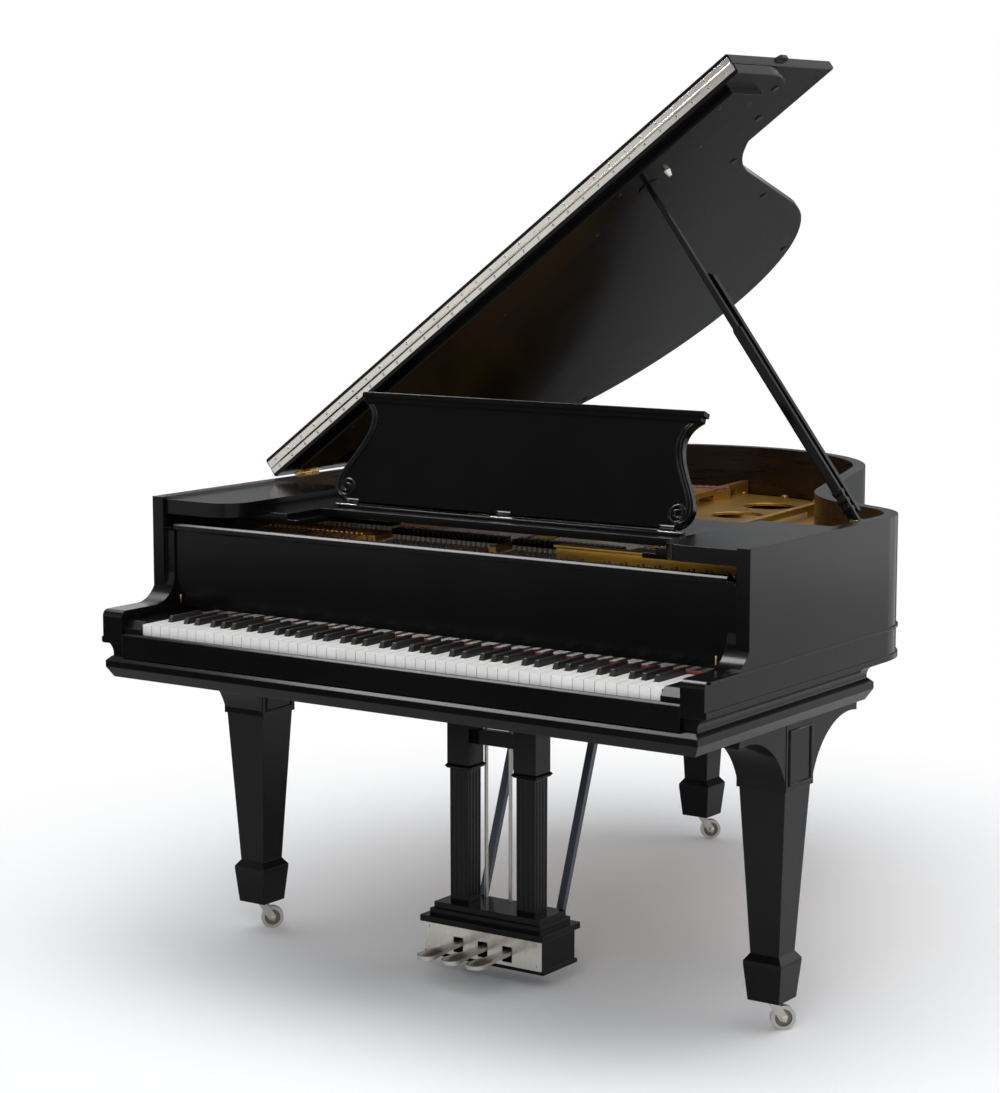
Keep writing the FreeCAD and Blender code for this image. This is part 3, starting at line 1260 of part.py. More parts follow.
def desk_strut():
    """Two bars with a rail at each end that prop the desk from behind."""
    y, z = strut_pivot()
    a = math.radians(DESK_LEAN)
    length = STRUT_ARM + STRUT_OVERRUN
    foot_y, foot_z = y + math.sin(a) * length, z - math.cos(a) * length
    r = STRUT_BAR / 2
    side = STRUT_SIDE_BAR / 2
    bars = [rod(V(x, y, z), V(x, foot_y, foot_z), side) for x in (-STRUT_SPREAD, STRUT_SPREAD)]
    head, foot = STRUT_SPREAD + STRUT_BAR + STRUT_LUG, STRUT_SPREAD + STRUT_BAR
    rails = [rod(V(-head, y, z), V(head, y, z), r), rod(V(-foot, foot_y, foot_z), V(foot, foot_y, foot_z), r)]
    return [joined(bars[0], [bars[1]] + rails)]


def corbel(centre, sign, top):
    """Curved bracket between a leg's block and the case, towards the front or the back."""
    x, y = centre
    x0 = x - LEG_BLOCK / 2 + CORBEL_SETBACK
    start = y + sign * LEG_BLOCK / 2
    tip = start + sign * CORBEL_REACH
    lip_z = top - CORBEL_LIP
    foot_z = lip_z - CORBEL_RISE
    middle = V(x0, tip - sign * CORBEL_REACH * DIAGONAL, lip_z - CORBEL_RISE * (1 - DIAGONAL))
    points = [V(x0, start, foot_z), V(x0, start, top), V(x0, tip, top), V(x0, tip, lip_z)]
    return Part.Face(chain_wire(points, {3: middle})).extrude(V(LEG_BLOCK - 2 * CORBEL_SETBACK, 0, 0))


def leg(centre, top):
    """Square leg: block with two corbels, tapering shaft, spade foot and a socket for the caster."""
    x, y = centre
    h = LEG_BLOCK / 2
    base = top - LEG_BLOCK_HEIGHT
    block = box(x - h, x + h, y - h, y + h, base, top)
    levels = [(LEG_SHAFT_TOP, base), (LEG_SHAFT_FOOT, SPADE_TOP_Z + SPADE_NECK), (SPADE_WIDE, SPADE_TOP_Z),
              (SPADE_WIDE, SPADE_TOP_Z - SPADE_NECK / 2), (SPADE_NARROW, LEG_FOOT_Z)]
    shaft = ruled([square_wire(centre, side, z) for side, z in levels])
    whole = joined(block, [shaft, corbel(centre, 1, top), corbel(centre, -1, top)])
    return whole.cut(post_rod(x, y, LEG_FOOT_Z, SPADE_TOP_Z, CASTER_STEM + PIN_CLEARANCE))


def tail_leg():
    """Leg under the tail, turned so that its corbels run across the case."""
    whole = leg(TAIL_LEG, RIM_BOTTOM)
    whole.rotate(V(TAIL_LEG_X, TAIL_LEG_Y, 0), UP, 90.0)
    return [whole]


def caster_turn(shape, centre):
    shape.rotate(V(centre[0], centre[1], 0), UP, CASTER_HEADING)
    return shape


def caster_horn(centre):
    """Stem, top plate and a fork that trails to the wheel's axle."""
    x, y = centre
    top = LEG_FOOT_Z - CASTER_GAP
    plate_z = top - CASTER_PLATE
    stem = post_rod(x, y, plate_z, plate_z + CASTER_STEM_LENGTH, CASTER_STEM)
    gap = WHEEL_WIDTH / 2 + FORK_CLEARANCE
    far = gap + FORK_THICKNESS
    plate = box(x - CASTER_STEM, x + CASTER_STEM, y - far, y + far, plate_z, top)
    hub, eye = x + CASTER_TRAIL, 2 * AXLE_RADIUS
    cheek = [(x - CASTER_STEM, plate_z), (x + CASTER_STEM, plate_z), (hub + eye, WHEEL_RADIUS + eye / 2),
             (hub + eye / 2, WHEEL_RADIUS - eye), (hub - eye, WHEEL_RADIUS - eye / 2)]
    cheeks = [front_prism(cheek, y + s * gap, y + s * far) for s in (-1, 1)]
    axle = rod(V(hub, y - gap, WHEEL_RADIUS), V(hub, y + gap, WHEEL_RADIUS), AXLE_RADIUS)
    return [caster_turn(joined(plate, [stem, axle] + cheeks), centre)]


def caster_wheel(centre):
    """Dished wheel with a bore for its axle."""
    h = WHEEL_WIDTH / 2
    hub = V(centre[0] + CASTER_TRAIL, centre[1] - h, WHEEL_RADIUS)
    across = V(0, 1, 0)
    tyre = Part.makeCylinder(WHEEL_RADIUS, WHEEL_WIDTH, hub, across)
    bore = Part.makeCylinder(AXLE_RADIUS + PIN_CLEARANCE, WHEEL_WIDTH, hub, across)
    dishes = [Part.makeCylinder(WHEEL_DISH_RADIUS, WHEEL_DISH, hub + across * d, across)
              for d in (0, WHEEL_WIDTH - WHEEL_DISH)]
    return [caster_turn(tyre.cut([bore] + dishes), centre)]


def flute(low, high, out):
    """Wedge that cuts one groove between two points of a post's face; out points away from the face."""
    across = UP.cross(out) * (2 * FLUTE_RADIUS)
    lift = out * FLUTE_RADIUS
    ends = [[p + lift - across, p + lift + across, p - lift] for p in (low, high)]
    return ruled([Part.makePolygon(corners + corners[:1]) for corners in ends])


def flutes(centre):
    """Grooves down the four faces of a lyre post's narrowing shaft."""
    x, y = centre
    step = POST_FOOT / FLUTE_COUNT
    low, high = PLINTH_TOP + step, POST_COLLAR_Z - step
    foot, brow = POST_FOOT / 2, (POST_WIDTH - COLLAR_OUT) / 2
    grooves = []
    for i in range(FLUTE_COUNT):
        d = step * (i + 0.5) - POST_FOOT / 2
        for out in (V(1, 0, 0), V(0, 1, 0), V(-1, 0, 0), V(0, -1, 0)):
            middle = V(x, y, 0) + UP.cross(out) * d
            grooves.append(flute(middle + out * foot + UP * low, middle + out * brow + UP * high, out))
    return grooves


def post(sign):
    """Square lyre post: plain head, collar, and a fluted shaft that narrows to the box."""
    centre = (sign * (POST_INNER + POST_WIDTH / 2), LYRE_FRONT + POST_WIDTH / 2)
    head = ruled([square_wire(centre, POST_WIDTH, z) for z in (POST_COLLAR_Z, BED_HEIGHT)])
    shaft = ruled([square_wire(centre, POST_FOOT, PLINTH_TOP),
                   square_wire(centre, POST_WIDTH - COLLAR_OUT, POST_COLLAR_Z)])
    h = COLLAR_HEIGHT / 2
    levels = [(POST_WIDTH, -h), (POST_WIDTH + COLLAR_OUT, 0), (POST_WIDTH, h)]
    collar = ruled([square_wire(centre, side, POST_COLLAR_Z + dz) for side, dz in levels])
    return joined(head, [shaft, collar]).cut(flutes(centre))


def lyre_frame():
    """Two posts tied by a head block under the bed and a crossbar."""
    outer = POST_INNER + POST_WIDTH + LYRE_CAP
    y0 = LYRE_FRONT
    head = box(-outer, outer, y0 - LYRE_CAP, y0 + POST_WIDTH, BED_HEIGHT - LYRE_CAP, BED_HEIGHT)
    inner = POST_INNER + LYRE_CAP
    bar = box(-inner, inner, y0 + LYRE_CAP, y0 + 2 * LYRE_CAP, CROSSBAR_Z, CROSSBAR_Z + CROSSBAR_HEIGHT)
    return [joined(head, [bar, post(-1), post(1)])]


def pedal_places():
    return [-PEDAL_SPACING, 0.0, PEDAL_SPACING]


def slot_cuts(y0, y1):
    """Slots for the three pedals through a wall between y0 and y1."""
    h, z0 = PEDAL_SLOT / 2, PEDAL_Z - PEDAL_SLOT_DROP
    return [box(x - h, x + h, y0, y1, z0, z0 + PEDAL_SLOT_HEIGHT) for x in pedal_places()]


def pedal_box():
    """Hollow pedal box with a stepped plinth, and the long pin that the pedals turn on."""
    front = BOX_FRONT + PLATE_METAL
    lip = BOX_BASE / 2
    base = box(-BOX_HALF - lip, BOX_HALF + lip, front, BOX_REAR + lip, BOX_BOTTOM - BOX_BASE, BOX_BOTTOM)
    rise = PLINTH_HEIGHT / 3
    steps = []
    for i, out in enumerate((PLINTH_LIP, -PLINTH_STEP / 2, -PLINTH_STEP)):
        z0 = BOX_TOP + rise * i
        steps.append(box(-BOX_HALF - out, BOX_HALF + out, BOX_FRONT - out, BOX_REAR + out, z0, z0 + rise))
    shell = box(-BOX_HALF, BOX_HALF, front, BOX_REAR, BOX_BOTTOM, BOX_TOP)
    inner = BOX_HALF - BOX_WALL
    hollow = box(-inner, inner, front + BOX_WALL, BOX_REAR - BOX_BACK, BOX_BOTTOM, BOX_TOP - BOX_BACK)
    holes = [post_rod(x, ROD_Y, BOX_BOTTOM, PLINTH_TOP, ROD_HOLE) for x in pedal_places()]
    body = joined(shell, [base] + steps).cut([hollow] + holes + slot_cuts(front, front + BOX_WALL))
    pin = rod(V(-inner, PEDAL_PIVOT_Y, PEDAL_Z), V(inner, PEDAL_PIVOT_Y, PEDAL_Z), PEDAL_PIN)
    return [body, pin]


def pedal_plate():
    rear = BOX_FRONT + PLATE_METAL
    plate = box(-BOX_HALF, BOX_HALF, BOX_FRONT, rear, BOX_BOTTOM, BOX_TOP)
    return [plate.cut(slot_cuts(BOX_FRONT, rear))]


def pedal_foot(x):
    """Rounded foot plate of a pedal, wider than its lever."""
    h, wide = PEDAL_WIDTH / 2, PEDAL_TIP_WIDTH / 2
    tip, neck, z = BOX_FRONT - PEDAL_REACH, BOX_FRONT - PEDAL_NECK, PEDAL_Z - PEDAL_THICKNESS / 2
    points = [V(x + h, neck, z), V(x - h, neck, z), V(x - wide, tip + wide, z), V(x + wide, tip + wide, z)]
    return Part.Face(chain_wire(points, {2: V(x, tip, z)})).extrude(UP * PEDAL_THICKNESS)


def pedal(x):
    """Lever with its foot plate in front of the box, an eye on the pin and a tail under its rod."""
    h, t = PEDAL_WIDTH / 2, PEDAL_THICKNESS / 2
    lever = box(x - h, x + h, BOX_FRONT - PEDAL_NECK, ROD_Y + PEDAL_TAIL, PEDAL_Z - t, PEDAL_Z + t)
    start, end = V(x - h, PEDAL_PIVOT_Y, PEDAL_Z), V(x + h, PEDAL_PIVOT_Y, PEDAL_Z)
    whole = joined(lever, [pedal_foot(x), rod(start, end, PEDAL_BOSS)])
    return [whole.cut(rod(start, end, PEDAL_PIN + PIN_CLEARANCE))]


def pedal_rod(x):
    low = PEDAL_Z + PEDAL_THICKNESS / 2 + RAIL_CLEARANCE
    return [post_rod(x, ROD_Y, low, ROD_TOP, ROD_RADIUS)]


def lyre_braces():
    """Two slanting braces from the back of the pedal box up to the bed."""
    w = BRACE_BAR
    y0, z0 = BOX_REAR + PLINTH_LIP, BOX_TOP
    rise = PLINTH_HEIGHT / 3
    outline = [(y0, z0), (y0 + w, z0), (BRACE_BAR_REAR + w, BED_HEIGHT), (BRACE_BAR_REAR - w, BED_HEIGHT),
               (y0, z0 + rise)]
    return both_sides(side_prism(outline, BRACE_BAR_X - w, BRACE_BAR_X + w))


def plan_centre():
    """Middle of the whole piano in plan, lid open, so that the origin stands under it."""
    a = math.radians(LID_OPEN)
    stack = 2 * LID_THICKNESS + 2 * SIDE_CLEARANCE
    low_x = HINGE_X - (LID_HALF + HINGE_X) * math.cos(a) - stack * math.sin(a)
    high_x = CASE_HALF + BEAD_OUT
    return V((low_x + high_x) / 2, (MOULD_FRONT + CASE_TAIL + LID_OVERHANG) / 2, 0)


def all_nodes():
    """Every node's solids by node name."""
    nodes = {
        "outer_rim": outer_rim(), "back_frame": back_frame(), "keybed": keybed(), "key_slip": key_slip(),
        "key_blocks": key_blocks(), "key_frame": key_frame(), "action_stack": action_stack(),
        "hammers": hammers(), "fallboard": fallboard(), "soundboard": soundboard(), "bridges": bridges(),
        "cast_plate": cast_plate(), "pinblock": pinblock(), "tuning_pins": tuning_pins(),
        "strings_bass": strings(0, BASS_NOTES), "strings_treble": strings(BASS_NOTES, NOTE_COUNT),
        "dampers": dampers(), "desk_rails": both_sides(side_shelf()), "desk_shelf": desk_shelf(),
        "music_desk": music_desk(), "desk_strut": desk_strut(), "lid_main": lid_main(),
        "lid_batten": lid_batten(), "lid_flap": lid_flap(), "flap_hinge": flap_hinge(),
        "lid_fittings": lid_fittings(), "rim_fittings": rim_fittings(), "long_prop": long_prop(),
        "short_prop": short_prop(), "lyre_frame": lyre_frame(), "pedal_box": pedal_box(),
        "pedal_plate": pedal_plate(), "lyre_braces": lyre_braces(), "leg_tail": tail_leg(),
        "caster_horn_tail": caster_horn(TAIL_LEG), "caster_wheel_tail": caster_wheel(TAIL_LEG),
    }
    for side, centre in FRONT_LEGS.items():
        nodes["leg_" + side] = [leg(centre, BED_HEIGHT)]
        nodes["caster_horn_" + side] = caster_horn(centre)
        nodes["caster_wheel_" + side] = caster_wheel(centre)
    for name, x in zip(PEDAL_NAMES, pedal_places()):
        nodes["pedal_" + name] = pedal(x)
        nodes["rod_" + name] = pedal_rod(x)
    for name, keys in key_nodes().items():
        nodes["keys_" + name] = keys
    return nodes


def main():
    os.makedirs("parts", exist_ok=True)
    shift = plan_centre() * -1
    for name, solids in all_nodes().items():
        shape = solids[0] if len(solids) == 1 else Part.makeCompound(solids)
        shape.translate(shift)
        shape.exportStep(os.path.join("parts", name + ".step"))


if __name__ == "__main__":
    main()
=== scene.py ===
import json
import math

import bmesh
import bpy
from bpy.props import FloatProperty, FloatVectorProperty, PointerProperty
from mathutils import Matrix, Vector


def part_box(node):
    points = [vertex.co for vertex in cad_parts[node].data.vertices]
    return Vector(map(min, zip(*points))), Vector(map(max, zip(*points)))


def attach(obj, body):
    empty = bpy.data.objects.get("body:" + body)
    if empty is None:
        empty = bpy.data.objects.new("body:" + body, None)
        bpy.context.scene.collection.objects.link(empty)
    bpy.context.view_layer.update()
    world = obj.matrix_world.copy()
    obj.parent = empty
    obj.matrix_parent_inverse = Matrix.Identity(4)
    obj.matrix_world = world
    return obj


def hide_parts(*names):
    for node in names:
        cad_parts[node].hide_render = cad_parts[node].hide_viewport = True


bl_info = {
    "name": "Grand Piano Finishes",
    "version": (1, 0, 0),
    "blender": (4, 5, 0),
    "location": "View3D > Sidebar > Piano",
    "description": "Dresses a grand piano with lacquer, metal, felt and small fittings",
    "category": "Object",
}

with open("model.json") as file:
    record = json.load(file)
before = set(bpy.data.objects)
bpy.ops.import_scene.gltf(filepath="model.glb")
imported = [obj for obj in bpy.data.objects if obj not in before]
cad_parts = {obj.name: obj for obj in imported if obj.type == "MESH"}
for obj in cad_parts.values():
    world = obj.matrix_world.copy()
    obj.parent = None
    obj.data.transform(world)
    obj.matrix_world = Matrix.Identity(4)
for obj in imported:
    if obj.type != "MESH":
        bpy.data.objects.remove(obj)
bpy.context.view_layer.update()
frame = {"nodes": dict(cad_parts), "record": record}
NODES = frame["nodes"]
JOINTS = {joint["name"]: joint for joint in frame["record"]["behaviour"]["joints"]}

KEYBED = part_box("keybed")
MIDDLE = (KEYBED[0].x + KEYBED[1].x) / 2
KEYS_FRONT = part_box("keys_C")[0].y
MM = 0.001
PITCHES = ("C", "D", "E", "F", "G", "A", "B")
SHARPS = ("C_sharp", "D_sharp", "F_sharp", "G_sharp", "A_sharp")
PEDALS = ("soft", "sostenuto", "sustain")
LEGS = ("tail", "bass", "treble")
RIGHT, LEFT = Vector((1, 0, 0)), Vector((-1, 0, 0))
FRONT, REAR, DOWN = Vector((0, -1, 0)), Vector((0, 1, 0)), Vector((0, 0, -1))
LID_ANGLE = math.radians(36.5)
DESK_ANGLE = math.radians(23.0)

# Values that at() takes are millimetres right of the middle of the keys' front edge, behind it or above
# the floor. Other lengths are metres where no unit is named, bearings are degrees and turns radians.

# Case, keyboard and action
CASE_MIDDLE = (-100, 900)
CHEEK_END = 484
VENEER_LEVELS = (700, 958)
# A face of the rim looks inward when its normal times the way out from the case's middle is under the
# first. A face of a key looks along an axis when its normal has more than the second there.
INWARD, SQUARE = -0.02, 0.9
HAMMER_FELT = 415
KEY_HEAD_END = 52
KEY_STICK_TOP = 715
NAME_FELT = ((-610.0, 148.6, 720.8), (610.0, 148.6, 727.0))
NAME_FELT_ROUND = 0.0015
TONGUE = (Vector((-0.0018, -0.0085, -0.0010)), Vector((0.0018, 0.0085, 0.0030)))
TONGUE_ROUND = 0.0007
TONGUE_SIDE, TONGUE_LEVEL = 636, 752
TONGUE_SUNK = 0.0005

# Plate
PLATE_MIDDLE = (-120, 1010, 900)
WEB_TOP = 0.846
BOLT_BEARINGS, BOLT_COUNT, BOLT_INSET = (-42, 222), 26, 0.034
BOLTS_BEHIND = 520
DECK_TOP = 856
DECK_SCREWS, DECK_SCREW_REACH, DECK_SCREWS_BEHIND = 11, 600, 246
# Corners of the web, flange and foot of the bar over the treble strings.
CAPO_BLOCKS = (((130, 388, 865.5), (632, 404, 893)), ((126, 384, 890), (632, 411, 896)),
               ((602, 384, 855.5), (632, 404, 892)))
CAPO_ROUND = 0.002
PANEL_TOP, PANEL_SUNK = 0.852, 0.001
PANEL_BEARINGS, PANEL_STEPS, PANEL_INSET = (-32, 152), 60, 0.052
PANEL_STRINGS = 6
PANEL_ROUND = 0.0015
# Strings along the two sides of the opening round the bass bridge.
BAY_TREBLE, BAY_BASS = slice(0, 66, 6), slice(0, 27, 3)
BAY_GAP, BAY_SIDE = 0.004, Vector((-0.046, 0.012, 0))
# Round openings in the plate: a treble string, the share of the way from its end to the rim, the radius.
PANEL_HOLES = ((96, 0.22, 0.062), (96, 0.41, 0.062), (96, 0.60, 0.062), (96, 0.79, 0.062),
               (150, 0.27, 0.048), (174, 0.36, 0.038))
HOLE_POINTS = 40
SECTION_GAP = 0.024
HITCH_BEHIND, HITCH_FRONT, BASS_HITCH_FRONT = 0.008, 0.030, 0.054
FELT_THICK, UNDER_WIRE = 0.004, 0.0012
HITCH_FELT_FROM, HITCH_FELT_SHORT = 0.006, 0.002
APRON_FOOT, APRON_BACK, APRON_OUT = 0.862, 0.001, 0.003
BASS_BRAID = (0.012, 0.042)
AGRAFFE_BEHIND = Vector((0, 0.004, 0))

# Strings, tuning pins and dampers
WOUND_FROM, WOUND_TO = 0.030, 0.045
WINDING_THINS = 0.5
PIN_RISE, COIL_UNDER, COIL_HALF = 0.022, 0.0004, 0.0009
# Turns of wire on a tuning pin, then its head. Widths are shares of its radius and heights of its rise.
COIL_TURNS, COIL_LOW, COIL_STEP, COIL_LEAD = 5, 0.36, 0.07, 0.45
COIL_WIDE, COIL_NECK = 1.22, 1.02
PIN_HEAD = ((1.0, 0.78), (0.82, 0.84), (0.78, 1.0))
DAMPER_SPLIT, DAMPER_ROUND, DAMPER_FELT_ROUND = 0.42, 0.0016, 0.0010
DAMPER_INSET = Vector((0.0008, 0.0010, 0))
DAMPER_WIRE, DAMPER_WIRE_IN, DAMPER_WIRE_LEVELS = 0.0012, 0.006, (-0.002, 0.003)

# Lid and props
LID_SPINE, LID_HINGES_BEHIND = -660, 590
CUP_SIDES, CUP_BEHIND = (340, 396), (640, 720)
LEAF_SCREWS, LEAF_SCREW_REACH, LEAF_SCREW_LEVEL = 32, 690, 976.5
LID_LEAF, LID_LEAF_TURN = 551.4, 0.6
FLAP_LEAF, FLAP_LEAF_TURN = 548.6, 0.7
BATTEN_UNDER, BATTEN_SCREW_TURN = 949, 0.5
# Rows of screws under the lid: how far behind the keys' front edge and how far right of its middle.
BATTEN_SCREWS = ((690, (-366, -85, 200, 501, 640)), (598, (-500, -220, 60, 340, 620)))
BATTEN_FELT = ((-660, 705.2, 957), (660, 707.4, 962.6))
BATTEN_FELT_ROUND = 0.0006
BUTT_SCREWS, BUTT_SCREWS_BELOW, BUTT_SCREW_TURN = (0.14, 0.5, 0.86), 0.022, 7
# Half width, half thickness and corner notch of the long prop.
PROP_LOWER = (0.0095, 0.0068, 0.0028)
PROP_UPPER = (0.0066, 0.0054, 0.0012)
PROP_TIP = (0.0050, 0.0046, 0.0010)
PROP_FOOT, PROP_SLOPE = 0.0080, 0.006
# Its collars and step, in shares of its length, and the height and swelling of a collar's rings.
PROP_COLLARS, PROP_STEP = (0.050, 0.074, 0.098), 0.58
COLLAR = ((-0.006, 0.0), (-0.003, 0.0018), (0.003, 0.0018), (0.006, 0.0))
PROP_NUT_FRONT, SHORT_NUT_SUNK = Vector((0, 0.0133, 0)), 0.0004

# Music desk
HINGE_BARREL, HINGE_SPACING = 0.0046, 0.05
DESK_LEVELS, DESK_LEAST_SIDE = (0.026, 0.206), 0.35
SILL_BASE, SILL_UNDER_AXIS, SILL_END = 0.015, 0.0102, 0.020
SILL_FRONT, SILL_REAR, SILL_ROUND = 0.016, 0.012, 0.0018
LEAF_HALF, LEAF_FRONT, LEAF_REAR = 0.026, 0.0145, 0.006
LEAF_SUNK, LEAF_PROUD, LEAF_ROUND = 0.0004, 0.0012, 0.0004
BEAD_INSETS, BEAD_FRONT = (0.006, 0.013), 0.0075
SCROLL_REACH, SCROLL_DROP, SCROLL_FOLLOWS = 0.026, 0.002, 0.4
SCROLL_TURN = math.radians(660.0)
SCROLL_POINTS, SCROLL_SHRINK = 48, 0.80

# Legs, casters and pedals
LEG_HALF, LEG_BEAD_INSET, LEG_BEAD_DEPTHS = 0.053, 0.012, (0.117, 0.014)
DISH_RADIUS = 0.0176
AXLE_END = 0.0125
CROWN_FRONT, CROWN_REAR, CROWN_INSET = 0.0006, 0.080, 0.0008
CROWN_BASE, CROWN_SUNK, CROWN_RISE, CROWN_TAPER = 0.004, 0.0004, 0.0052, 0.5
CROWN_RINGS, CROWN_POINTS = 7, 28
PLATE_SCREW_INSET, PLATE_SCREW_TURN = 0.010, 0.8

# Small turned fittings, as (radius, height) pairs from foot to head
BOLT = ((0.0125, -0.001), (0.0125, 0.002), (0.0088, 0.0028), (0.0084, 0.0075), (0.0060, 0.0095),
        (0.0020, 0.0102))
DECK_SCREW = ((0.0095, -0.001), (0.0095, 0.0015), (0.0070, 0.0022), (0.0066, 0.0058), (0.0030, 0.0070))
HITCH_PIN = ((0.0014, -0.020), (0.0014, 0.0016), (0.0010, 0.0024))
AGRAFFE = ((0.0016, -0.006), (0.0016, 0.0004), (0.0022, 0.0008), (0.0018, 0.0030))
PROP_NUT = ((0.0075, 0.0), (0.0075, 0.0016), (0.0058, 0.0030), (0.0024, 0.0036))
AXLE_NUT = ((0.0064, -0.0006), (0.0064, 0.0016), (0.0048, 0.0030), (0.0020, 0.0036))
# The long prop's eye, which is bored for its pin: up the outside and down the bore.
PROP_EYE = ((0.0110, -0.0090), (0.0125, -0.0078), (0.0125, 0.0078), (0.0110, 0.0090), (0.0045, 0.0090),
            (0.0045, -0.0090))
# A screw's dome and the dark bar that paints the shade in its slot, in shares of its radius across and
# metres up.
SCREW_DOME = ((1.0, -0.0004), (1.0, 0.0002), (0.8, 0.0006), (0.3, 0.0008))
SLOT_LONG, SLOT_WIDE, SLOT_LEVELS, SLOT_ROUND = 0.86, 0.13, (0.0004, 0.00095), 0.00008

# Stage
# Width of the image in pixels and of the camera's sensor in millimetres.
IMAGE_WIDTH, SENSOR = 1000, 36.0
CLIP_END = 100.0
WORLD_COLOUR, WORLD_STRENGTH = (0.92, 0.95, 1.0, 1.0), 0.55
FLOOR_RADIUS, FLOOR_THICK = 16.0, 0.0200
# The floor fades to white between these distances, and the grey card brightens between these heights.
FLOOR_SHADE, CARD_SHADE = (0.9, 2.1), (0.25, 0.75)
# Cards that are seen in reflections: left and right end in plan, levels in metres and finish.
FLAGS = {
    "flag_behind": ((-2800, 2500), (500, 2500), (0.0, 1.8), "grey_card"),
    "flag_front_low": ((-3300, -400), (1300, -3500), (0.0, 0.56), "dark_rubber_and_slot_shade"),
    "flag_front_high": ((-3300, -400), (1300, -3500), (1.9, 3.8), "dark_rubber_and_slot_shade"),
}
# Lamps: place and aim from a point in the case, width and height, power, whether they light dull surfaces.
LAMP_CENTRE = (0, 700, 800)
LAMPS = {
    "top_softbox": ((0.6, -0.4, 4.2), (0, 0, 0), (4.5, 4.5), 150.0, True),
    "right_softbox": ((3.4, 3.4, 0.9), (0.5, 0, 0), (4.2, 3.2), 38.0, True),
    "front_fill": ((2.6, -5.2, 3.4), (0, 0, 0), (3.0, 2.4), 60.0, True),
    "edge_shine": ((-2.4, -0.2, 3.6), (0, 0, 0), (3.0, 2.0), 420.0, False),
}


def at(x, y, z):
    """Point in the frame, from millimetres right, behind and above the keys' front edge at the floor."""
    return Vector((MIDDLE + x * MM, KEYS_FRONT + y * MM, z * MM))


def about(point, angle, axis):
    """Turn about a line through a point."""
    return Matrix.Translation(point) @ Matrix.Rotation(angle, 4, axis) @ Matrix.Translation(-point)


def joint_point(name):
    """Place of a joint."""
    return Vector(JOINTS[name]["pos_m"])


# Where the raised and leaning pieces stand: from their closed or upright place to the pose at rest.
LID_UP = about(joint_point("lid_hinge"), -LID_ANGLE, "Y")
FLAP_UP = LID_UP @ about(LID_UP.inverted() @ joint_point("flap_hinge"), math.pi, "X")
PROP_UP = about(joint_point("long_prop_fold"), -LID_ANGLE, "Y")
DESK_UP = about(joint_point("desk_tilt"), -DESK_ANGLE, "X")


class PianoColours(bpy.types.PropertyGroup):
    """Colours of the piano's finishes."""

    def colour(label, text, value):
        return FloatVectorProperty(name=label, description=text, subtype="COLOR", size=3, min=0.0, max=1.0,
                                   default=value)

    lacquer: colour("Lacquer", "Black lacquer of the case, lid and legs", (0.0030, 0.0030, 0.0033))
    veneer: colour("Inner veneer", "Stained veneer inside the rim", (0.016, 0.0075, 0.0042))
    white: colour("White keys", "Tops of the white keys", (0.88, 0.87, 0.84))
    ebony: colour("Sharps", "Black keys", (0.010, 0.009, 0.009))
    gold: colour("Plate", "Bronzed iron plate", (0.56, 0.33, 0.060))
    steel: colour("Steel", "Strings and small pins", (0.20, 0.195, 0.185))
    blued: colour("Blued steel", "Tuning pins", (0.060, 0.062, 0.070))
    copper: colour("Copper", "Winding of the bass strings", (0.60, 0.27, 0.13))
    nickel: colour("Nickel", "Plated hinge, pedals and casters", (0.64, 0.62, 0.57))
    brass: colour("Brass", "Butt hinges and small pins", (0.62, 0.42, 0.14))
    iron: colour("Brace iron", "Painted braces of the lyre", (0.030, 0.036, 0.050))
    spruce: colour("Spruce", "Soundboard", (0.58, 0.36, 0.15))
    maple: colour("Maple", "Bridges, frame and action", (0.42, 0.25, 0.11))
    felt_red: colour("Red felt", "Felt behind the keys and on the plate", (0.20, 0.010, 0.013))
    felt_white: colour("White felt", "Hammers and dampers", (0.72, 0.69, 0.60))
    # Also paints the shade in the screws' slots, and colours the dark flags.
    rubber_and_slot_shade_colour: colour("Rubber", "Stops under the lid", (0.025, 0.024, 0.023))
    floor: colour("Floor", "Studio floor", (0.95, 0.95, 0.95))
    card: colour("Reflected card", "Top of the grey card that the lid and shelves reflect",
                 (0.28, 0.28, 0.28))


class PianoSizes(bpy.types.PropertyGroup):
    """Sizes of the added fittings."""

    def length(label, text, value):
        return FloatProperty(name=label, description=text, default=value, min=0.0, unit="LENGTH")

    screw: length("Screw head", "Radius of a hinge screw's head", 0.0034)
    bead: length("Bead", "Radius of the beads on desk and legs", 0.0030)
    pin: length("Tuning pin", "Radius of a tuning pin", 0.0030)
    wire: length("Wire", "Radius of a plain string", 0.0006)
    winding: length("Winding", "Radius of the thickest bass string", 0.0020)
    felt: length("Name felt", "Thickness of the felt strip behind the keys", 0.0050)
    camera_right: length("Camera right", "Camera's distance right of the keyboard's middle", 3.0805)
    camera_front: length("Camera front", "Camera's distance in front of the keys", 4.0803)
    camera_height: length("Camera height", "Camera's height over the floor", 1.6281)
    yaw: FloatProperty(name="Camera yaw", description="Turn of the camera to the left", default=0.6042,
                       subtype="ANGLE")
    pitch: FloatProperty(name="Camera pitch", description="Downward tilt of the camera", default=0.1366,
                         subtype="ANGLE")
    focal: FloatProperty(name="Focal length", description="Focal length in pixels of the image",
                         default=2743.8, min=1.0, subtype="PIXEL")


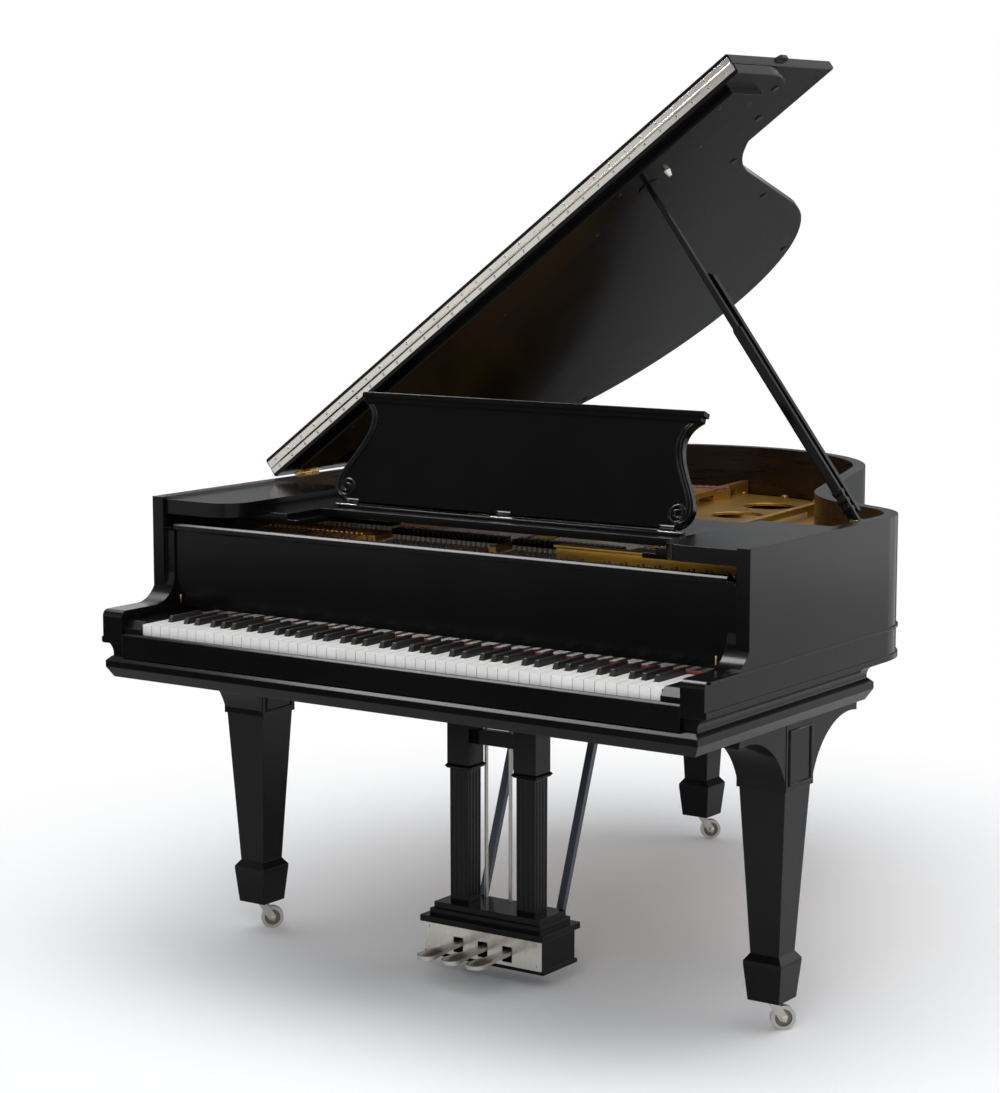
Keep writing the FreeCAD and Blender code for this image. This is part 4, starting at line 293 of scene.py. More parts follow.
class Finish:
    """A material on one Principled shader, with helpers for its textures."""

    def __init__(self, name, colour, rough, metal=0.0):
        self.material = bpy.data.materials.new(name + "_finish")
        self.material.use_nodes = True
        self.tree = self.material.node_tree
        self.shader = self.tree.nodes["Principled BSDF"]
        self.set("Base Color", (*colour, 1.0))
        self.set("Roughness", rough)
        self.set("Metallic", metal)
        self.place = self.add("ShaderNodeTexCoord").outputs["Object"]
        self.normal = None

    def add(self, kind, **values):
        """Node with some of its sockets set."""
        node = self.tree.nodes.new(kind)
        for name, value in values.items():
            node.inputs[name.replace("_", " ")].default_value = value
        return node

    def set(self, socket, value):
        """Sets a socket of the shader."""
        self.shader.inputs[socket].default_value = value

    def link(self, out, into):
        self.tree.links.new(out, into)

    def stretched(self, scale, turn=(0.0, 0.0, 0.0)):
        """Places on the object, scaled and turned."""
        mapping = self.add("ShaderNodeMapping", Scale=scale, Rotation=turn)
        self.link(self.place, mapping.inputs["Vector"])
        return mapping.outputs["Vector"]

    def noise(self, scale, stretch=(1.0, 1.0, 1.0), detail=3.0, turn=(0.0, 0.0, 0.0)):
        node = self.add("ShaderNodeTexNoise", Scale=scale, Detail=detail)
        self.link(self.stretched(stretch, turn), node.inputs["Vector"])
        return node.outputs["Fac"]

    def bands(self, scale, distortion, direction="X", turn=(0.0, 0.0, 0.0), detail=2.0):
        node = self.add("ShaderNodeTexWave", Scale=scale, Distortion=distortion, Detail=detail)
        node.bands_direction = direction
        self.link(self.stretched((1.0, 1.0, 1.0), turn), node.inputs["Vector"])
        return node.outputs["Fac"]

    def tint(self, fac, dark, light, low=0.3, high=0.7):
        """Colours the finish from dark to light by a texture."""
        ramp = self.add("ShaderNodeValToRGB")
        ramp.color_ramp.elements[0].position = low
        ramp.color_ramp.elements[1].position = high
        ramp.color_ramp.elements[0].color = (*dark, 1.0)
        ramp.color_ramp.elements[1].color = (*light, 1.0)
        self.link(fac, ramp.inputs["Fac"])
        self.link(ramp.outputs["Color"], self.shader.inputs["Base Color"])

    def dull(self, fac, low, high):
        """Varies the roughness by a texture."""
        node = self.add("ShaderNodeMapRange", To_Min=low, To_Max=high)
        self.link(fac, node.inputs["Value"])
        self.link(node.outputs["Result"], self.shader.inputs["Roughness"])

    def soften(self, radius):
        """Rounds the look of sharp edges."""
        node = self.add("ShaderNodeBevel", Radius=radius)
        node.samples = 4
        self.normal = node.outputs["Normal"]
        self.link(self.normal, self.shader.inputs["Normal"])

    def relief(self, fac, strength, depth):
        """Raises a texture over the surface."""
        node = self.add("ShaderNodeBump", Strength=strength, Distance=depth)
        self.link(fac, node.inputs["Height"])
        if self.normal is not None:
            self.link(self.normal, node.inputs["Normal"])
        self.normal = node.outputs["Normal"]
        self.link(self.normal, self.shader.inputs["Normal"])


def seen_ray(tree):
    """Socket that is 1 for rays from the camera, from a reflection or through glass."""
    path = tree.nodes.new("ShaderNodeLightPath")
    seen = path.outputs["Is Camera Ray"]
    for name in ("Is Glossy Ray", "Is Transmission Ray"):
        most = tree.nodes.new("ShaderNodeMath")
        most.operation = "MAXIMUM"
        tree.links.new(seen, most.inputs[0])
        tree.links.new(path.outputs[name], most.inputs[1])
        seen = most.outputs[0]
    return seen


def shade(colour, factor):
    """A colour made darker or lighter."""
    return tuple(min(1.0, c * factor) for c in colour)


def lacquer_finish(colours):
    finish = Finish("black_lacquer", colours.lacquer, 0.2)
    finish.set("Specular IOR Level", 0.13)
    finish.soften(0.0020)
    finish.tint(finish.noise(2.2), shade(colours.lacquer, 0.8), shade(colours.lacquer, 1.35))
    finish.dull(finish.noise(9.0, (1.0, 1.0, 0.35), 4.0), 0.14, 0.22)
    finish.relief(finish.noise(420.0, detail=1.0), 0.006, 0.0004)
    return finish.material


def veneer_finish(colours):
    finish = Finish("inner_veneer", colours.veneer, 0.28)
    finish.set("Coat Weight", 0.3)
    finish.set("Coat Roughness", 0.12)
    grain = finish.noise(9.0, (1.0, 1.0, 14.0), 6.0)
    finish.tint(grain, shade(colours.veneer, 0.45), shade(colours.veneer, 1.7))
    finish.dull(grain, 0.22, 0.36)
    return finish.material


def white_key_finish(colours):
    finish = Finish("white_keys", colours.white, 0.22)
    finish.soften(0.0007)
    finish.tint(finish.noise(14.0, (1.0, 0.2, 1.0)), shade(colours.white, 0.95), shade(colours.white, 1.03))
    finish.dull(finish.noise(60.0), 0.16, 0.30)
    return finish.material


def ebony_finish(colours):
    finish = Finish("sharp_keys", colours.ebony, 0.32)
    finish.soften(0.0010)
    grain = finish.noise(120.0, (1.0, 0.06, 1.0), 5.0)
    finish.tint(grain, shade(colours.ebony, 0.7), shade(colours.ebony, 1.6))
    finish.dull(grain, 0.26, 0.40)
    return finish.material


def gold_finish(colours):
    finish = Finish("gold_plate", colours.gold, 0.34, 0.85)
    finish.soften(0.0015)
    finish.tint(finish.noise(7.0, detail=5.0), shade(colours.gold, 0.72), shade(colours.gold, 1.18))
    finish.dull(finish.noise(45.0), 0.26, 0.44)
    finish.relief(finish.noise(330.0, detail=4.0), 0.18, 0.0006)
    return finish.material


def metal_finish(name, colour, low, high, marks=80.0):
    finish = Finish(name, colour, low, 1.0)
    finish.soften(0.0005)
    wear = finish.noise(marks, (1.0, 1.0, 0.4), 5.0)
    finish.tint(wear, shade(colour, 0.92), shade(colour, 1.05))
    finish.dull(wear, low, high)
    return finish.material


def copper_finish(colours):
    finish = Finish("copper_winding", colours.copper, 0.3, 1.0)
    turns = finish.bands(520.0, 0.0, "Y", detail=0.0)
    finish.tint(finish.noise(30.0), shade(colours.copper, 0.7), shade(colours.copper, 1.15))
    finish.dull(turns, 0.22, 0.4)
    finish.relief(turns, 0.6, 0.0004)
    return finish.material


def wood_finish(name, colour, stretch, turn=(0.0, 0.0, 0.0), gloss=0.42):
    finish = Finish(name, colour, gloss)
    grain = finish.noise(16.0, stretch, 7.0, turn)
    finish.tint(grain, shade(colour, 0.62), shade(colour, 1.25), 0.32, 0.68)
    finish.dull(grain, gloss - 0.08, gloss + 0.12)
    finish.relief(grain, 0.12, 0.0008)
    return finish.material


def spruce_finish(colours):
    finish = Finish("soundboard_spruce", colours.spruce, 0.34)
    lines = finish.bands(105.0, 1.2, "X", (0.0, 0.0, math.radians(-38.0)))
    finish.tint(lines, shade(colours.spruce, 0.78), shade(colours.spruce, 1.16), 0.15, 0.9)
    finish.dull(lines, 0.26, 0.42)
    finish.set("Coat Weight", 0.25)
    finish.set("Coat Roughness", 0.2)
    return finish.material


def felt_finish(name, colour):
    finish = Finish(name, colour, 0.95)
    finish.set("Sheen Weight", 0.35)
    fibres = finish.noise(520.0, detail=6.0)
    finish.tint(fibres, shade(colour, 0.62), shade(colour, 1.2))
    finish.relief(fibres, 0.5, 0.0008)
    return finish.material


def iron_finish(colours):
    finish = Finish("brace_paint", colours.iron, 0.4, 0.2)
    finish.soften(0.0010)
    marks = finish.noise(38.0, (1.0, 1.0, 0.3), 6.0)
    finish.tint(marks, shade(colours.iron, 0.7), shade(colours.iron, 1.7))
    finish.dull(marks, 0.3, 0.55)
    return finish.material


# Dark finish of the stops under the lid, also used as painted shade in the screws' slots.
def dark_rubber_and_slot_shade_finish(colours):
    finish = Finish("dark_rubber_and_slot_shade", colours.rubber_and_slot_shade_colour, 0.8)
    finish.tint(finish.noise(90.0), shade(colours.rubber_and_slot_shade_colour, 0.7), shade(colours.rubber_and_slot_shade_colour, 1.4))
    return finish.material


def card_finish(colours):
    finish = Finish("grey_card", colours.card, 0.9)
    split = finish.add("ShaderNodeSeparateXYZ")
    finish.link(finish.place, split.inputs["Vector"])
    rise = finish.add("ShaderNodeMapRange", From_Min=CARD_SHADE[0], From_Max=CARD_SHADE[1])
    finish.link(split.outputs["Z"], rise.inputs["Value"])
    finish.tint(rise.outputs["Result"], shade(colours.card, 0.06), colours.card, 0.0, 1.0)
    return finish.material


def floor_finish(colours):
    finish = Finish("studio_floor", colours.floor, 0.85)
    finish.tint(finish.noise(0.8), shade(colours.floor, 0.985), shade(colours.floor, 1.01))
    tree = finish.tree
    length = tree.nodes.new("ShaderNodeVectorMath")
    length.operation = "LENGTH"
    finish.link(finish.place, length.inputs[0])
    fade = finish.add("ShaderNodeMapRange", From_Min=FLOOR_SHADE[0], From_Max=FLOOR_SHADE[1])
    fade.interpolation_type = "SMOOTHSTEP"
    finish.link(length.outputs["Value"], fade.inputs["Value"])
    seen = tree.nodes.new("ShaderNodeMath")
    seen.operation = "MULTIPLY"
    finish.link(fade.outputs["Result"], seen.inputs[0])
    finish.link(seen_ray(tree), seen.inputs[1])
    glow = finish.add("ShaderNodeEmission", Color=(1.0, 1.0, 1.0, 1.0), Strength=1.0)
    mix = tree.nodes.new("ShaderNodeMixShader")
    finish.link(seen.outputs[0], mix.inputs["Fac"])
    finish.link(finish.shader.outputs["BSDF"], mix.inputs[1])
    finish.link(glow.outputs["Emission"], mix.inputs[2])
    finish.link(mix.outputs["Shader"], tree.nodes["Material Output"].inputs["Surface"])
    return finish.material


def finish_named(name):
    """The finish of that name, made when it is first asked for."""
    made = bpy.data.materials.get(name + "_finish")
    if made:
        return made
    colours = bpy.context.scene.piano_colours
    makers = {
        "black_lacquer": lacquer_finish, "inner_veneer": veneer_finish, "white_keys": white_key_finish,
        "sharp_keys": ebony_finish, "gold_plate": gold_finish, "copper_winding": copper_finish,
        "soundboard_spruce": spruce_finish, "brace_paint": iron_finish, "dark_rubber_and_slot_shade": dark_rubber_and_slot_shade_finish,
        "studio_floor": floor_finish, "grey_card": card_finish,
        "bright_steel": lambda c: metal_finish("bright_steel", c.steel, 0.3, 0.44),
        "blued_steel": lambda c: metal_finish("blued_steel", c.blued, 0.3, 0.46),
        "nickel_plate": lambda c: metal_finish("nickel_plate", c.nickel, 0.16, 0.34),
        "satin_nickel": lambda c: metal_finish("satin_nickel", shade(c.nickel, 0.75), 0.34, 0.48),
        # Much darker nickel that paints the shade in the recessed dishes of the caster wheels.
        "nickel_painted_shade": lambda c: metal_finish("nickel_painted_shade", shade(c.nickel, 0.25), 0.4, 0.56),
        "polished_brass": lambda c: metal_finish("polished_brass", c.brass, 0.2, 0.36),
        "maple_wood": lambda c: wood_finish("maple_wood", c.maple, (1.0, 0.08, 1.0)),
        # Key wood, darkened so that on the sides of the white keys it also paints the shade in the gaps
        # between them.
        "key_wood_and_gap_shade": lambda c: wood_finish("key_wood_and_gap_shade", shade(c.maple, 0.7), (1.0, 0.06, 1.0)),
        "red_felt": lambda c: felt_finish("red_felt", c.felt_red),
        "white_felt": lambda c: felt_finish("white_felt", c.felt_white),
    }
    return makers[name](colours)


def dress(name, *nodes):
    """Gives the CAD nodes one finish."""
    for node in nodes:
        NODES[node].data.materials.clear()
        NODES[node].data.materials.append(finish_named(name))


def dress_faces(name, node, test):
    """Gives a second finish to the faces of a CAD node that pass the test on their middle and normal."""
    mesh = NODES[node].data
    mesh.materials.append(finish_named(name))
    index = len(mesh.materials) - 1
    for face in mesh.polygons:
        if test(face.center, face.normal):
            face.material_index = index


def lofted(rings, bored=False):
    """Shape through rings with the same number of points, closed at both ends or bored through."""
    count = len(rings[0])
    points = [point for ring in rings for point in ring]
    faces = []
    for ring in range(len(rings) if bored else len(rings) - 1):
        for i in range(count):
            a, b = ring * count + i, ring * count + (i + 1) % count
            faces.append(tuple(index % len(points) for index in (a, b, b + count, a + count)))
    if not bored:
        faces.append(tuple(reversed(range(count))))
        faces.append(tuple(range(len(points) - count, len(points))))
    return points, faces


def turned(profile, sides, bored=False):
    """Round shape from (radius, height) pairs, which come back round to the first where it is bored."""
    turns = [2 * math.pi * i / sides for i in range(sides)]
    rings = [[Vector((r * math.cos(a), r * math.sin(a), height)) for a in turns] for r, height in profile]
    return lofted(rings, bored)


def block(low, high, rounding):
    """Box between two corners with rounded edges."""
    shape = bmesh.new()
    bmesh.ops.create_cube(shape, size=1.0)
    size, middle = high - low, (high + low) / 2
    for vert in shape.verts:
        vert.co = Vector(c * s for c, s in zip(vert.co, size)) + middle
    bmesh.ops.bevel(shape, geom=shape.edges[:], offset=rounding, segments=2, profile=0.6, affect="EDGES")
    return lists_of(shape)


def lists_of(shape):
    """Points and faces of a bmesh, which is used up."""
    shape.verts.index_update()
    lists = [v.co.copy() for v in shape.verts], [tuple(v.index for v in f.verts) for f in shape.faces]
    shape.free()
    return lists


def mesh_of(curve):
    """Mesh of a curve, which is used up."""
    swept = bpy.data.objects.new(curve.name, curve)
    mesh = bpy.data.meshes.new_from_object(swept)
    bpy.data.objects.remove(swept)
    bpy.data.curves.remove(curve)
    return mesh


def run_along(curve, points, closed):
    """Adds a run of straight steps to a curve."""
    spline = curve.splines.new("POLY")
    spline.points.add(len(points) - 1)
    for spot, point in zip(spline.points, points):
        spot.co = (*point, 1.0)
    spline.use_cyclic_u = closed


def pierced(outline, holes, low, high, rounding):
    """Flat plate with rounded edges, from its outline in plan and openings that run the other way round."""
    curve = bpy.data.curves.new("plate", "CURVE")
    curve.dimensions = "2D"
    curve.fill_mode = "BOTH"
    curve.extrude = (high - low) / 2 - rounding
    curve.bevel_depth = rounding
    curve.bevel_resolution = 1
    for run in (outline, *holes):
        run_along(curve, [(p.x, p.y, 0.0) for p in run], True)
    mesh = mesh_of(curve)
    mesh.transform(Matrix.Translation((0, 0, (low + high) / 2)))
    shape = bmesh.new()
    shape.from_mesh(mesh)
    bpy.data.meshes.remove(mesh)
    bmesh.ops.remove_doubles(shape, verts=shape.verts[:], dist=1e-5)
    return lists_of(shape)


def tube(start, end, radius, sides):
    """Straight round bar between two points."""
    along = end - start
    turn = along.to_track_quat("Z", "Y").to_matrix().to_4x4()
    points, faces = turned([(radius, 0.0), (radius, along.length)], sides)
    return [Matrix.Translation(start) @ turn @ p for p in points], faces


def stamped(shape, places):
    """Copies of one shape at many places, as one shape."""
    points, faces = [], []
    for place in places:
        first = len(points)
        points.extend(place @ p for p in shape[0])
        faces.extend(tuple(i + first for i in face) for face in shape[1])
    return points, faces


def gathered(shapes):
    """Many shapes as one."""
    points, faces = [], []
    for shape in shapes:
        first = len(points)
        points.extend(shape[0])
        faces.extend(tuple(i + first for i in face) for face in shape[1])
    return points, faces


def add_piece(name, shape, look, body, crease=40.0):
    """Mesh piece with one finish that rides on a body."""
    mesh = bpy.data.meshes.new(name)
    mesh.from_pydata([tuple(p) for p in shape[0]], [], shape[1])
    mesh.validate()
    mesh.shade_smooth()
    mesh.set_sharp_from_angle(angle=math.radians(crease))
    return placed(name, mesh, look, body)


def placed(name, mesh, look, body):
    """Object of a mesh, with one finish, that rides on a body."""
    mesh.materials.clear()
    mesh.materials.append(finish_named(look))
    piece = bpy.data.objects.new(name, mesh)
    bpy.context.scene.collection.objects.link(piece)
    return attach(piece, body)


def add_bead(name, runs, radius, look, body, closed=False):
    """Round beads swept along smooth runs of points, as one piece."""
    curve = bpy.data.curves.new(name, "CURVE")
    curve.dimensions = "3D"
    curve.bevel_depth = radius
    curve.bevel_resolution = 3
    curve.use_fill_caps = True
    for points in runs:
        run_along(curve, points, closed)
    mesh = mesh_of(curve)
    mesh.name = name
    mesh.shade_smooth()
    return placed(name, mesh, look, body)


def islands(node):
    """Corner points of every separate solid in a CAD node."""
    shape = bmesh.new()
    shape.from_mesh(NODES[node].data)
    bmesh.ops.remove_doubles(shape, verts=shape.verts[:], dist=1e-6)
    left, groups = set(shape.verts), []
    for seed in shape.verts:
        if seed not in left:
            continue
        left.remove(seed)
        stack, group = [seed], []
        while stack:
            vert = stack.pop()
            group.append(vert.co.copy())
            for edge in vert.link_edges:
                other = edge.other_vert(vert)
                if other in left:
                    left.remove(other)
                    stack.append(other)
        groups.append(group)
    shape.free()
    return groups


def middle_of(points):
    """Mean of some points."""
    return sum(points, Vector()) / len(points)


def string_ends(node):
    """Front and rear end of every string in a node, from left to right at the front."""
    ends = []
    for group in islands(node):
        group.sort(key=lambda p: p.y)
        half = len(group) // 2
        ends.append((middle_of(group[:half]), middle_of(group[half:])))
    return sorted(ends, key=lambda pair: pair[0].x)


def facing(point, direction, turn=0.0):
    """Place of a fitting whose own axis points along a direction."""
    quat = direction.to_track_quat("Z", "Y").to_matrix().to_4x4()
    return Matrix.Translation(point) @ quat @ Matrix.Rotation(turn, 4, "Z")


def spread(reach, count):
    """Even steps from a distance on the left to the same on the right."""
    return [-reach + 2 * reach * i / (count - 1) for i in range(count)]


def screw_head(radius):
    """Slightly domed head and a dark bar that paints the shade in its slot."""
    dome = turned([(radius * share, height) for share, height in SCREW_DOME], sides=14)
    long, wide = radius * SLOT_LONG, radius * SLOT_WIDE
    low, high = SLOT_LEVELS
    slot = block(Vector((-long, -wide, low)), Vector((long, wide, high)), SLOT_ROUND)
    return dome, slot


def add_screws(name, places, look, body):
    """Screw heads with painted shade in their slots."""
    dome, slot = screw_head(bpy.context.scene.piano_sizes.screw)
    add_piece(name, stamped(dome, places), look, body)
    # Dark bars of painted shade in the slots.
    add_piece(name + "_slot_shade", stamped(slot, places), "dark_rubber_and_slot_shade", body)


class PIANO_OT_case(bpy.types.Operator):
    """Lacquer the rim, keybed, key slip and key blocks, and stain the inside of the rim"""

    bl_idname = "piano.case"
    bl_label = "Case"

    def execute(self, context):
        dress("black_lacquer", "outer_rim", "keybed", "key_slip", "key_blocks")
        middle, cheek = at(*CASE_MIDDLE, 0), at(0, CHEEK_END, 0).y
        low, high = (at(0, 0, level).z for level in VENEER_LEVELS)

        def inside(centre, normal):
            out = Vector((centre.x - middle.x, centre.y - middle.y, 0))
            return centre.y > cheek and low < centre.z < high and normal.dot(out) < INWARD

        dress_faces("inner_veneer", "outer_rim", inside)
        return {"FINISHED"}


class PIANO_OT_frame(bpy.types.Operator):
    """Give the back frame, soundboard, bridges and action their woods"""

    bl_idname = "piano.frame"
    bl_label = "Frame and soundboard"

    def execute(self, context):
        dress("maple_wood", "back_frame", "bridges", "pinblock", "key_frame", "action_stack", "hammers")
        dress("soundboard_spruce", "soundboard")
        felt = at(0, HAMMER_FELT, 0).y
        dress_faces("white_felt", "hammers", lambda centre, normal: centre.y > felt)
        return {"FINISHED"}


class PIANO_OT_keyboard(bpy.types.Operator):
    """Finish the keys and lay the red felt strip behind them"""

    bl_idname = "piano.keyboard"
    bl_label = "Keyboard"

    def execute(self, context):
        head, stick_top = at(0, KEY_HEAD_END, 0).y, at(0, 0, KEY_STICK_TOP).z

        def bare_wood(centre, normal):
            side = abs(normal.x) > SQUARE and centre.y > head and centre.z < stick_top
            return side or normal.z < -SQUARE or normal.y > SQUARE

        # All sides of the white keys take the darker key wood: partly their real wood, partly painted shade
        # in the gaps between keys.
        def side_wood_and_gap_shade(centre, normal):
            return abs(normal.x) > SQUARE or bare_wood(centre, normal)

        for pitch in PITCHES:
            dress("white_keys", "keys_" + pitch)
            dress_faces("key_wood_and_gap_shade", "keys_" + pitch, side_wood_and_gap_shade)
        for pitch in SHARPS:
            dress("sharp_keys", "keys_" + pitch)
            dress_faces("key_wood_and_gap_shade", "keys_" + pitch, bare_wood)
        low, high = (at(*corner) for corner in NAME_FELT)
        high.y += context.scene.piano_sizes.felt
        add_piece("name_felt", block(low, high, NAME_FELT_ROUND), "red_felt", "case")
        return {"FINISHED"}


class PIANO_OT_fallboard(bpy.types.Operator):
    """Lacquer the fallboard and let in the brass tongues at its lower corners"""

    bl_idname = "piano.fallboard"
    bl_label = "Fallboard"

    def execute(self, context):
        dress("black_lacquer", "fallboard")
        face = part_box("fallboard")[0].y
        places = []
        for x in (-TONGUE_SIDE, TONGUE_SIDE):
            spot = at(x, 0, TONGUE_LEVEL)
            spot.y = face + TONGUE_SUNK
            places.append(facing(spot, FRONT))
        tongues = stamped(block(*TONGUE, TONGUE_ROUND), places)
        add_piece("fallboard_tongues", tongues, "polished_brass", "fallboard")
        return {"FINISHED"}


class PIANO_OT_plate(bpy.types.Operator):
    """Bronze the plate and add its flat, treble bar, bolts, hitch pins, agraffes and felts"""

    bl_idname = "piano.plate"
    bl_label = "Plate"

    def rim_line(self, bearings, count, inset):
        """Points inside the rim, from one bearing in degrees to another round the plate's middle."""
        centre = at(*PLATE_MIDDLE)
        first, last = bearings
        line = []
        for i in range(count):
            a = math.radians(first + (last - first) * i / (count - 1))
            out = Vector((math.cos(a), math.sin(a), 0))
            hit, spot, normal, _ = NODES["outer_rim"].ray_cast(centre, out)
            if hit:
                line.append(spot + Vector((normal.x, normal.y, 0)).normalized() * inset)
        return line

    def bolts(self):
        """Bolts along the web, at even steps round the inside of the rim."""
        line = self.rim_line(BOLT_BEARINGS, BOLT_COUNT, BOLT_INSET)
        front = at(0, BOLTS_BEHIND, 0).y
        return [Matrix.Translation((p.x, p.y, WEB_TOP)) for p in line if p.y > front]

    def panel(self, bass, treble):
        """Flat of the plate from the hitch line to the rim, open round the bass bridge and in holes."""

        def behind(end, length):
            return end[1] + (end[1] - end[0]).normalized() * length

        front = [behind(end, -HITCH_FRONT) for end in treble[::PANEL_STRINGS] + treble[-1:]]
        rim = self.rim_line(PANEL_BEARINGS, PANEL_STEPS, PANEL_INSET)
        left, right = rim[-1], rim[0]
        outline = [Vector((left.x, left.y, 0))] + front + [Vector((right.x, front[-1].y, 0))] + rim[1:-1]
        near = [behind(end, 2 * HITCH_BEHIND) for end in treble[BAY_TREBLE]]
        far = [behind(end, -BASS_HITCH_FRONT - BAY_GAP) for end in bass[BAY_BASS]]
        bay = [near[0] + BAY_SIDE] + near + far[::-1] + [far[0] + BAY_SIDE]
        holes = [bay[::-1]]
        level = at(*PLATE_MIDDLE).z
        turns = [2 * math.pi * i / HOLE_POINTS for i in range(HOLE_POINTS)]
        for index, share, radius in PANEL_HOLES:
            end = treble[index]
            along = (end[1] - end[0]).normalized()
            spot = Vector((end[1].x, end[1].y, level))
            reach = (NODES["outer_rim"].ray_cast(spot, along)[1] - spot).length
            middle = behind(end, reach * share)
            holes.append([middle + Vector((math.cos(a), -math.sin(a), 0)) * radius for a in turns])
        return pierced(outline, holes, WEB_TOP - PANEL_SUNK, PANEL_TOP, PANEL_ROUND)

    def ribbon(self, ends, start, stop, foot, under):
        """Band across a run of strings, from one distance before their rear ends to another.

        Its top lies under the wires, and its foot at a level or, without one, a felt's thickness lower.
        """
        points, faces = [], []
        for front, rear in ends:
            along = (rear - front).normalized()
            for spot in (rear - along * start, rear - along * stop):
                top = spot.z - under
                low = top - FELT_THICK if foot is None else foot
                points += [Vector((spot.x, spot.y, low)), Vector((spot.x, spot.y, top))]
        last = len(points) - 4
        for a in range(0, last, 4):
            b, c, d = a + 1, a + 2, a + 3
            faces += [(b, d, d + 4, b + 4), (a, a + 4, c + 4, c)]
            faces += [(a, b, b + 4, a + 4), (c, c + 4, d + 4, d)]
        faces += [(0, 2, 3, 1), (last, last + 1, last + 3, last + 2)]
        return points, faces

    def sections(self, ends):
        """Runs of strings whose rear ends lie close together."""
        runs = [[ends[0]]]
        for before, end in zip(ends, ends[1:]):
            if (end[1] - before[1]).length > SECTION_GAP:
                runs.append([])
            runs[-1].append(end)
        return [run for run in runs if len(run) > 1]

    def hitch_rail(self, label, ends, width):
        """Raised rail behind each section of strings, with a strip of felt under the wires."""
        runs = self.sections(ends)
        rails = [self.ribbon(run, -HITCH_BEHIND, width, WEB_TOP, FELT_THICK + UNDER_WIRE) for run in runs]
        stop = width - HITCH_FELT_SHORT
        felts = [self.ribbon(run, HITCH_FELT_FROM, stop, None, UNDER_WIRE) for run in runs]
        add_piece("hitch_rail_" + label, gathered(rails), "gold_plate", "case", crease=20.0)
        add_piece("hitch_felt_" + label, gathered(felts), "red_felt", "case", crease=20.0)

    def execute(self, context):
        dress("gold_plate", "cast_plate")
        capo = [block(at(*low), at(*high), CAPO_ROUND) for low, high in CAPO_BLOCKS]
        add_piece("capo_bar", gathered(capo), "gold_plate", "case")
        add_piece("plate_bolts", stamped(turned(BOLT, sides=18), self.bolts()), "gold_plate", "case")
        line = spread(DECK_SCREW_REACH, DECK_SCREWS)
        places = [Matrix.Translation(at(x, DECK_SCREWS_BEHIND, DECK_TOP)) for x in line]
        add_piece("deck_screws", stamped(turned(DECK_SCREW, sides=16), places), "polished_brass", "case")
        bass, treble = string_ends("strings_bass"), string_ends("strings_treble")
        add_piece("hitch_panel", self.panel(bass, treble), "gold_plate", "case", crease=10.0)
        places = [Matrix.Translation(rear) for _, rear in bass + treble]
        add_piece("hitch_pins", stamped(turned(HITCH_PIN, sides=8), places), "bright_steel", "case")
        self.hitch_rail("bass", bass, BASS_HITCH_FRONT)
        self.hitch_rail("treble", treble, HITCH_FRONT)
        start, stop = BASS_HITCH_FRONT - APRON_BACK, BASS_HITCH_FRONT + APRON_OUT
        apron = self.ribbon(bass, start, stop, APRON_FOOT, UNDER_WIRE)
        add_piece("bass_apron", apron, "red_felt", "case", crease=20.0)
        braid = self.ribbon(bass, *BASS_BRAID, None, -FELT_THICK / 2)
        add_piece("bass_braid", braid, "red_felt", "case", crease=20.0)
        places = [Matrix.Translation(front + AGRAFFE_BEHIND) for front, _ in bass + treble]
        add_piece("agraffes", stamped(turned(AGRAFFE, sides=8), places), "polished_brass", "case")
        return {"FINISHED"}


class PIANO_OT_strings(bpy.types.Operator):
    """Round the strings, wind those of the bass and lead each to a round tuning pin"""

    bl_idname = "piano.strings"
    bl_label = "Strings and pins"

    def wound(self, ends, sizes):
        """Bass strings, with windings that thin towards the treble."""
        shapes = []
        for i, (front, rear) in enumerate(ends):
            radius = sizes.winding * (1.0 - WINDING_THINS * i / len(ends))
            along = (rear - front).normalized()
            shapes.append(tube(front + along * WOUND_FROM, rear - along * WOUND_TO, radius, sides=8))
            shapes.append(tube(front, rear, sizes.wire, sides=6))
        return gathered(shapes)

    def pin(self, radius):
        """Tuning pin with the turns of its wire."""
        coil = [PIN_RISE * (COIL_LOW + COIL_STEP * i) for i in range(COIL_TURNS)]
        profile = [(radius, 0.0), (radius, coil[0] - COIL_UNDER)]
        for height in coil:
            profile += [(radius * COIL_WIDE, height), (radius * COIL_NECK, height + COIL_HALF)]
        profile += [(radius * share, PIN_RISE * height) for share, height in PIN_HEAD]
        return turned(profile, sides=10)

    def execute(self, context):
        sizes = context.scene.piano_sizes
        dress("bright_steel", "strings_treble")
        dress("blued_steel", "tuning_pins")
        dress("copper_winding", "strings_bass")
        bass, treble = string_ends("strings_bass"), string_ends("strings_treble")
        piece = add_piece("wound_strings", self.wound(bass, sizes), "copper_winding", "case")
        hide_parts("strings_bass")
        plain = [tube(front, rear, sizes.wire, sides=6) for front, rear in treble]
        piece = add_piece("plain_strings", gathered(plain), "bright_steel", "case")
        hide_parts("strings_treble")

        pins = sorted((middle_of(group) for group in islands("tuning_pins")), key=lambda p: p.x)
        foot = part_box("tuning_pins")[0].z
        places = [Matrix.Translation((p.x, p.y, foot)) for p in pins]
        piece = add_piece("round_pins", stamped(self.pin(sizes.pin), places), "blued_steel", "case")
        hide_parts("tuning_pins")
        leads = []
        for pin, (front, _) in zip(pins, bass + treble):
            start = Vector((pin.x + sizes.pin, pin.y, foot + PIN_RISE * COIL_LEAD))
            leads.append(tube(start, front, sizes.wire, sides=5))
        add_piece("front_lengths", gathered(leads), "bright_steel", "case")
        return {"FINISHED"}


